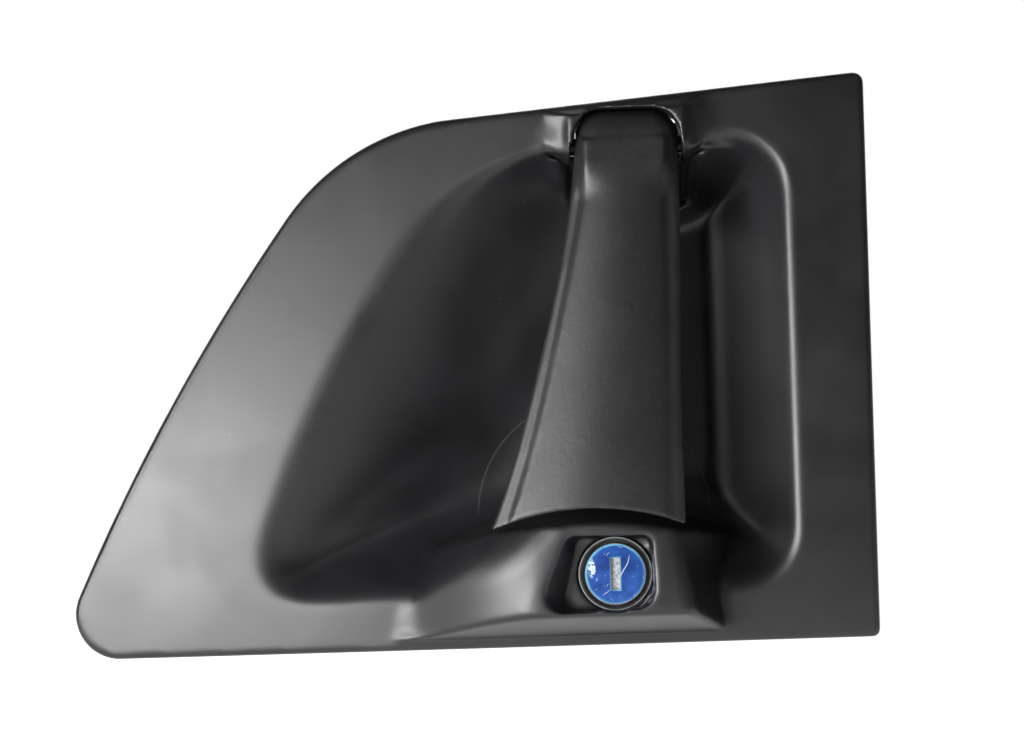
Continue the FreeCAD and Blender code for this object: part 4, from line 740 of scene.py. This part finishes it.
class HANDLE_OT_housing(bpy.types.Operator):
    """Model the smooth moulded housing and finish it in grained ABS"""

    bl_idname = "handle.housing"
    bl_label = "Housing"

    def execute(self, context):
        mesh = even_mesh("housing", shapes().skin_voxel)
        mesh.name = "housing_skin"
        shape_front(mesh)
        piece = new_piece("housing_skin", mesh, moulded_abs(), "housing")
        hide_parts("housing")
        return {"FINISHED"}


# The front of the grip: height up the door, its left and right edge and its height in front

GRIP_FRONT = [(-50.0, -41.5, 18.4, 38.6), (-15.0, -29.8, 18.3, 36.6), (16.0, -21.6, 19.4, 33.6),
              (50.0, -13.7, 20.2, 29.6), (78.0, -8.4, 20.8, 25.2), (97.0, -7.6, 21.6, 21.4)]
FACET_DEPTH = 7.5
CROWN_TOP, CROWN_FADE = 90.0, 16.0


def crown_grip(mesh):
    """Gives the flat front of the grip its crown across."""
    points, facing, edges = mesh_arrays(mesh)
    x, y, z = points.T.copy()
    levels, left, right, front = (np.array(column) for column in zip(*GRIP_FRONT))
    low_x, high_x = np.interp(z, levels, left), np.interp(z, levels, right)
    across = np.clip(2 * (x - low_x) / (high_x - low_x) - 1, -1.0, 1.0)
    depth = y + np.interp(z, levels, front)
    fall = shapes().grip_crown / MM * across ** 2 * ease((CROWN_TOP - z) / CROWN_FADE)
    points[:, 1] += fall * (1 - ease(depth / FACET_DEPTH))
    points = relax(points, edges, np.full(len(points), 0.5), 3)
    put_points(mesh, points, "grip_shell")


class HANDLE_OT_grip(bpy.types.Operator):
    """Model the crowned, grained grip and finish its back cover"""

    bl_idname = "handle.grip"
    bl_label = "Grip"

    def execute(self, context):
        mesh = even_mesh("grip_shell", shapes().grip_voxel)
        mesh.name = "grip_skin"
        crown_grip(mesh)
        piece = new_piece("grip_skin", mesh, leather_grained_polyamide(), "grip")
        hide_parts("grip_shell")
        # Polypropylene with a fine spark-eroded grain, duller than the grip.
        finish(["grip_back_cover"],
               plain_polymer("Polypropylene moulded black", colours().cover, 0.5, 0.8, 0.03))
        return {"FINISHED"}


class HANDLE_OT_mechanism(bpy.types.Operator):
    """Finish the castings, pins, bushes and springs of the hinge and the release"""

    bl_idname = "handle.mechanism"
    bl_label = "Hinge and release"

    def execute(self, context):
        # Pressure die casting leaves a dull grey skin with faint flow marks.
        finish(["hinge_casting"],
               bare_metal("Zinc die cast", colours().die_cast, 0.48, (1.0, 1.0, 1.0), 1.2, 0.04))
        # Ground pins with a black oxide skin: dark, with fine rings, so short grain along X.
        finish(["hinge_pin", "lever_pivot_pin"],
               bare_metal("Steel ground black oxidised", colours().steel, 0.34, (4.0, 1.0, 1.0),
                          0.8, 0.01, "#1E1E20"))
        # Bright zinc over stamped sheet: silvery, with milky patches from the bath.
        finish(["mechanism_bracket", "release_lever", "tail_lever"],
               bare_metal("Steel zinc plated sheet", colours().plating, 0.32, (1.0, 1.0, 0.3),
                          0.9, 0.02, "#8E9496"))
        finish(["bracket_screws", "casting_screws", "cover_screws"],
               bare_metal("Steel zinc plated screws", colours().plating, 0.28, (1.0, 1.0, 1.0),
                          0.6, 0.02, "#8E9496"))
        # Phosphated and oiled spring wire is almost black, with a dull sheen.
        finish(["lever_return_spring", "lever_pivot_clip", "tail_circlip", "lock_retaining_clip"],
               bare_metal("Spring steel phosphated", colours().spring, 0.42, (1.0, 1.0, 1.0),
                          0.5, 0.02, "#2D2D2F"))
        # Undyed polyamide is milky and slightly glossy where the tool was polished.
        finish(["contact_shoe", "lever_bush"],
               plain_polymer("Polyamide natural moulded", colours().nylon, 0.38, 0.9, 0.02, 1.53))
        finish(["hinge_bushes"],
               plain_polymer("Acetal moulded black", colours().rubber, 0.35, 0.8, 0.02, 1.48))
        finish(["rod_clip"],
               plain_polymer("Polyamide green moulded", colours().clip, 0.4, 0.8, 0.02, 1.53))
        # Nitrile rubber has a dull skin that dust greys.
        finish(["stop_buffer"],
               plain_polymer("Nitrile rubber moulded", colours().rubber, 0.7, 0.7, 0.05, 1.52))
        return {"FINISHED"}


class HANDLE_OT_seals(bpy.types.Operator):
    """Finish the gasket, the lock seal and the brass inserts"""

    bl_idname = "handle.seals"
    bl_label = "Seals and inserts"

    def execute(self, context):
        # Closed-cell foam shows its cut cells as fine pits.
        finish(["perimeter_gasket", "lock_seal"],
               plain_polymer("EPDM foam closed cell", colours().foam, 0.85, 0.9, 0.12, 1.5))
        finish(["threaded_inserts"],
               bare_metal("Brass turned", colours().brass, 0.3, (1.0, 5.0, 1.0), 0.6, 0.02,
                          "#8A6A33"))
        return {"FINISHED"}


# Torn threads of film on the face of the lock: points from its axis and the width, in mm

FILM_THREADS = [
    ([(1.75, -1.4), (2.1, -0.2), (3.0, 1.3), (4.3, 3.3), (4.8, 4.6), (5.2, 6.5)], 0.34),
    ([(-1.75, -5.3), (-2.7, -6.2), (-3.7, -6.9), (-4.8, -7.6)], 0.20),
    ([(-3.2, -4.6), (-3.0, -3.9), (-2.6, -3.4)], 0.16),
    ([(-3.9, -4.5), (-4.2, -4.0)], 0.16),
    ([(-6.9, -2.4), (-6.6, -1.9), (-6.9, -1.3)], 0.24),
    ([(-3.2, 6.3), (-2.5, 7.4), (-1.8, 7.8)], 0.14),
    ([(1.3, 9.7), (2.7, 9.3)], 0.40),
    ([(4.6, 9.1), (6.0, 8.3)], 0.26),
    ([(0.6, -6.7), (0.9, -6.1)], 0.20),
    ([(8.3, 2.4), (8.0, 2.9)], 0.18),
    ([(-2.2, -8.7), (-1.0, -9.6)], 0.18),
    ([(0.8, -7.4), (1.8, -8.6)], 0.10),
]


THREAD_SIDES = 6
THREAD_END = 0.35  # width of a thread at its ends, as a share of its width


def thread_mesh(threads, front_mm, height_mm):
    """Thin tapering threads that lie on the film, each with rounded sides."""
    shape = bmesh.new()
    for path, width in threads:
        rings = []
        last = len(path) - 1
        for i, (across, up) in enumerate(path):
            ahead = Vector(path[min(i + 1, last)]) - Vector(path[max(i - 1, 0)])
            aside = Vector((-ahead.y, ahead.x)).normalized()
            half = width / 2 * (1.0 if 0 < i < last else THREAD_END)
            ring = []
            for k in range(THREAD_SIDES):
                angle = 2 * math.pi * k / THREAD_SIDES
                offset = aside * half * math.cos(angle)
                level = front_mm - height_mm * (0.5 + 0.5 * math.sin(angle))
                place = ((LOCK_X + across + offset.x) * MM, level * MM,
                         (LOCK_Z + up + offset.y) * MM)
                ring.append(shape.verts.new(place))
            rings.append(ring)
        for near, far in zip(rings, rings[1:]):
            for k in range(THREAD_SIDES):
                n = (k + 1) % THREAD_SIDES
                shape.faces.new((near[k], near[n], far[n], far[k]))
        shape.faces.new(rings[0][::-1])
        shape.faces.new(rings[-1])
    bmesh.ops.recalc_face_normals(shape, faces=shape.faces)
    mesh = bpy.data.meshes.new("film_threads")
    shape.to_mesh(mesh)
    shape.free()
    return mesh


class HANDLE_OT_lock(bpy.types.Operator):
    """Finish the key lock and lay the torn threads of its blue film"""

    bl_idname = "handle.lock"
    bl_label = "Lock"

    def execute(self, context):
        finish(["lock_barrel"], dipped_zinc())
        finish(["lock_plug", "lock_wafers"],
               bare_metal("Brass machined", colours().brass, 0.32, (1.0, 3.0, 1.0), 0.7, 0.02,
                          "#7E6231"))
        # Chrome over polished steel sheet: nearly white, with the haze of fine polishing lines.
        finish(["lock_face_cap"],
               bare_metal("Steel chromed", colours().chrome, 0.16, (1.0, 1.0, 1.0), 0.8, 0.01,
                          "#A7ABB0"))
        finish(["protective_film"], blue_film())
        finish(["key_shutter"], worn_shutter())
        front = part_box("protective_film")[0][1] / MM
        mesh = thread_mesh(FILM_THREADS, front + 0.01, shapes().scuff_height / MM)
        mesh.shade_smooth()
        new_piece("film_threads", mesh, torn_film(), "lock_plug")
        return {"FINISHED"}


# Studio


def seen_directly(tree):
    """1 where a ray comes from the camera, a glossy surface or glass, and 0 elsewhere."""
    path = tree.nodes.new("ShaderNodeLightPath")
    shiny = maths(tree, "MAXIMUM", path.outputs["Is Glossy Ray"],
                  path.outputs["Is Transmission Ray"])
    return path.outputs["Is Camera Ray"], shiny


WHITE = (1.0, 1.0, 1.0, 1.0)
CAMERA_GLOW = 0.94
SHEET_DARK_Y, SHEET_BRIGHT_Y = -0.32, -0.12
BACKDROP_FROM, BACKDROP_TO = 0.35, 0.7


def floor_material():
    """Pale matt floor paint that shows white to the camera and keeps the object's shadow."""
    material = bpy.data.materials.new("Floor paint matt")
    material.use_nodes = True
    tree = material.node_tree
    tree.nodes.clear()
    camera, shiny = seen_directly(tree)
    fleck = noise(tree, place_of(tree), 4.0)
    paint = blend_colours(tree, remap(tree, fleck, 0.3, 0.7, 0.0, 0.3), opaque(colours().floor),
                          opaque(hex_colour("#EDEDEA")))
    matt = add_node(tree, "ShaderNodeBsdfDiffuse", {"Color": paint})
    # Only the part near the object is bright in its reflections, like a sheet of white paper.
    sheet = remap(tree, axes_of(tree, place_of(tree))[1], SHEET_DARK_Y, SHEET_BRIGHT_Y)
    glow = add_node(tree, "ShaderNodeEmission", {
        "Color": WHITE,
        "Strength": maths(tree, "MAXIMUM", maths(tree, "MULTIPLY", camera, CAMERA_GLOW),
                          maths(tree, "MULTIPLY", shiny, sheet))})
    both = add_node(tree, "ShaderNodeAddShader", {0: matt, 1: glow})
    output = tree.nodes.new("ShaderNodeOutputMaterial")
    tree.links.new(both, output.inputs["Surface"])
    return material


def set_world():
    """White behind the object; the room in front of it is dim, as in a studio."""
    world = bpy.data.worlds.new("Studio")
    bpy.context.scene.world = world
    world.use_nodes = True
    tree = world.node_tree
    tree.nodes.clear()
    camera, shiny = seen_directly(tree)
    heading = axes_of(tree, add_node(tree, "ShaderNodeTexCoord", {}, out=0))
    behind = remap(tree, heading[1], BACKDROP_FROM, BACKDROP_TO)
    white_part = maths(tree, "MAXIMUM", camera, maths(tree, "MULTIPLY", shiny, behind))
    level = studio().room_light
    strength = maths(tree, "ADD", maths(tree, "MULTIPLY", white_part, 1.0 - level), level)
    sky = add_node(tree, "ShaderNodeBackground", {"Color": WHITE, "Strength": strength})
    output = tree.nodes.new("ShaderNodeOutputWorld")
    tree.links.new(sky, output.inputs["Surface"])


def soft_box(name, place, target, width, height, power):
    lamp = bpy.data.lights.new(name, "AREA")
    lamp.shape = "RECTANGLE"
    lamp.size = width
    lamp.size_y = height
    lamp.energy = power
    box = bpy.data.objects.new(name, lamp)
    box.location = place
    box.rotation_euler = (Vector(target) - Vector(place)).to_track_quat("-Z", "Y").to_euler()
    box.visible_camera = False
    bpy.context.scene.collection.objects.link(box)


# Each soft box: name, its power, place, what it points at, width and height, in metres

SOFT_BOXES = [
    ("Key soft box", "key_power", (-0.265, -0.46, -0.055), (-0.09, 0.0, -0.03), 0.22, 0.10),
    ("Side soft box", "side_power", (-0.62, -0.55, 0.06), (0.0, 0.0, 0.0), 0.18, 0.36),
    ("Fill soft box", "fill_power", (0.9, -1.3, 1.1), (0.0, 0.0, 0.0), 0.9, 0.9),
]
FLOOR_REACH = 3.0
IMAGE_CENTRE_X, IMAGE_CENTRE_Z = -36.0, 11.9
SENSOR_WIDTH = 36.0


class HANDLE_OT_stage(bpy.types.Operator):
    """Set the floor, the lamps, the white background and the camera"""

    bl_idname = "handle.stage"
    bl_label = "Studio"

    def execute(self, context):
        scene = context.scene
        mesh = bpy.data.meshes.new("floor")
        level = CAD_BOX[0][2]
        corners = [(FLOOR_REACH * side, FLOOR_REACH * end)
                   for side, end in ((-1, -1), (1, -1), (1, 1), (-1, 1))]
        mesh.from_pydata([(x, y, level) for x, y in corners], [], [(0, 1, 2, 3)])
        mesh.materials.append(floor_material())
        floor = bpy.data.objects.new("floor", mesh)
        scene.collection.objects.link(floor)
        set_world()
        for name, power, place, aim, width, height in SOFT_BOXES:
            soft_box(name, place, aim, width, height, getattr(studio(), power))
        lens = bpy.data.cameras.new("Camera")
        lens.sensor_width = SENSOR_WIDTH
        lens.lens = lens.sensor_width * studio().distance / studio().view_width
        lens.clip_start = 0.01
        camera = bpy.data.objects.new("Camera", lens)
        place = Vector((IMAGE_CENTRE_X * MM, -shapes().plate_rise - studio().distance,
                        IMAGE_CENTRE_Z * MM))
        facing = Matrix.Rotation(math.radians(90.0), 4, "X")
        camera.matrix_world = (Matrix.Translation(place) @ facing
                               @ Matrix.Rotation(studio().roll, 4, "Z"))
        scene.collection.objects.link(camera)
        scene.camera = camera
        scene.view_settings.view_transform = "Standard"
        return {"FINISHED"}


STEPS = [HANDLE_OT_stage, HANDLE_OT_housing, HANDLE_OT_grip, HANDLE_OT_mechanism,
         HANDLE_OT_seals, HANDLE_OT_lock]
GROUPS = {"handle_shapes": HandleShapes, "handle_colours": HandleColours,
          "handle_studio": HandleStudio}


class HANDLE_PT_panel(bpy.types.Panel):
    """Lists the steps that build the handle and the values that they use"""

    bl_label = "Door handle"
    bl_idname = "HANDLE_PT_panel"
    bl_space_type = "VIEW_3D"
    bl_region_type = "UI"
    bl_category = "Door handle"

    def draw(self, context):
        for step in STEPS:
            self.layout.operator(step.bl_idname)
        for group, kind in GROUPS.items():
            box = self.layout.box()
            for name in kind.__annotations__:
                box.prop(getattr(context.scene, group), name)


def register():
    for kind in (*GROUPS.values(), *STEPS, HANDLE_PT_panel):
        bpy.utils.register_class(kind)
    for group, kind in GROUPS.items():
        setattr(bpy.types.Scene, group, bpy.props.PointerProperty(type=kind))


def unregister():
    for group in GROUPS:
        delattr(bpy.types.Scene, group)
    for kind in (HANDLE_PT_panel, *STEPS, *GROUPS.values()):
        bpy.utils.unregister_class(kind)


def main():
    register()
    for step in STEPS:
        family, action = step.bl_idname.split(".")
        getattr(getattr(bpy.ops, family), action)()


if __name__ == "__main__":
    main()
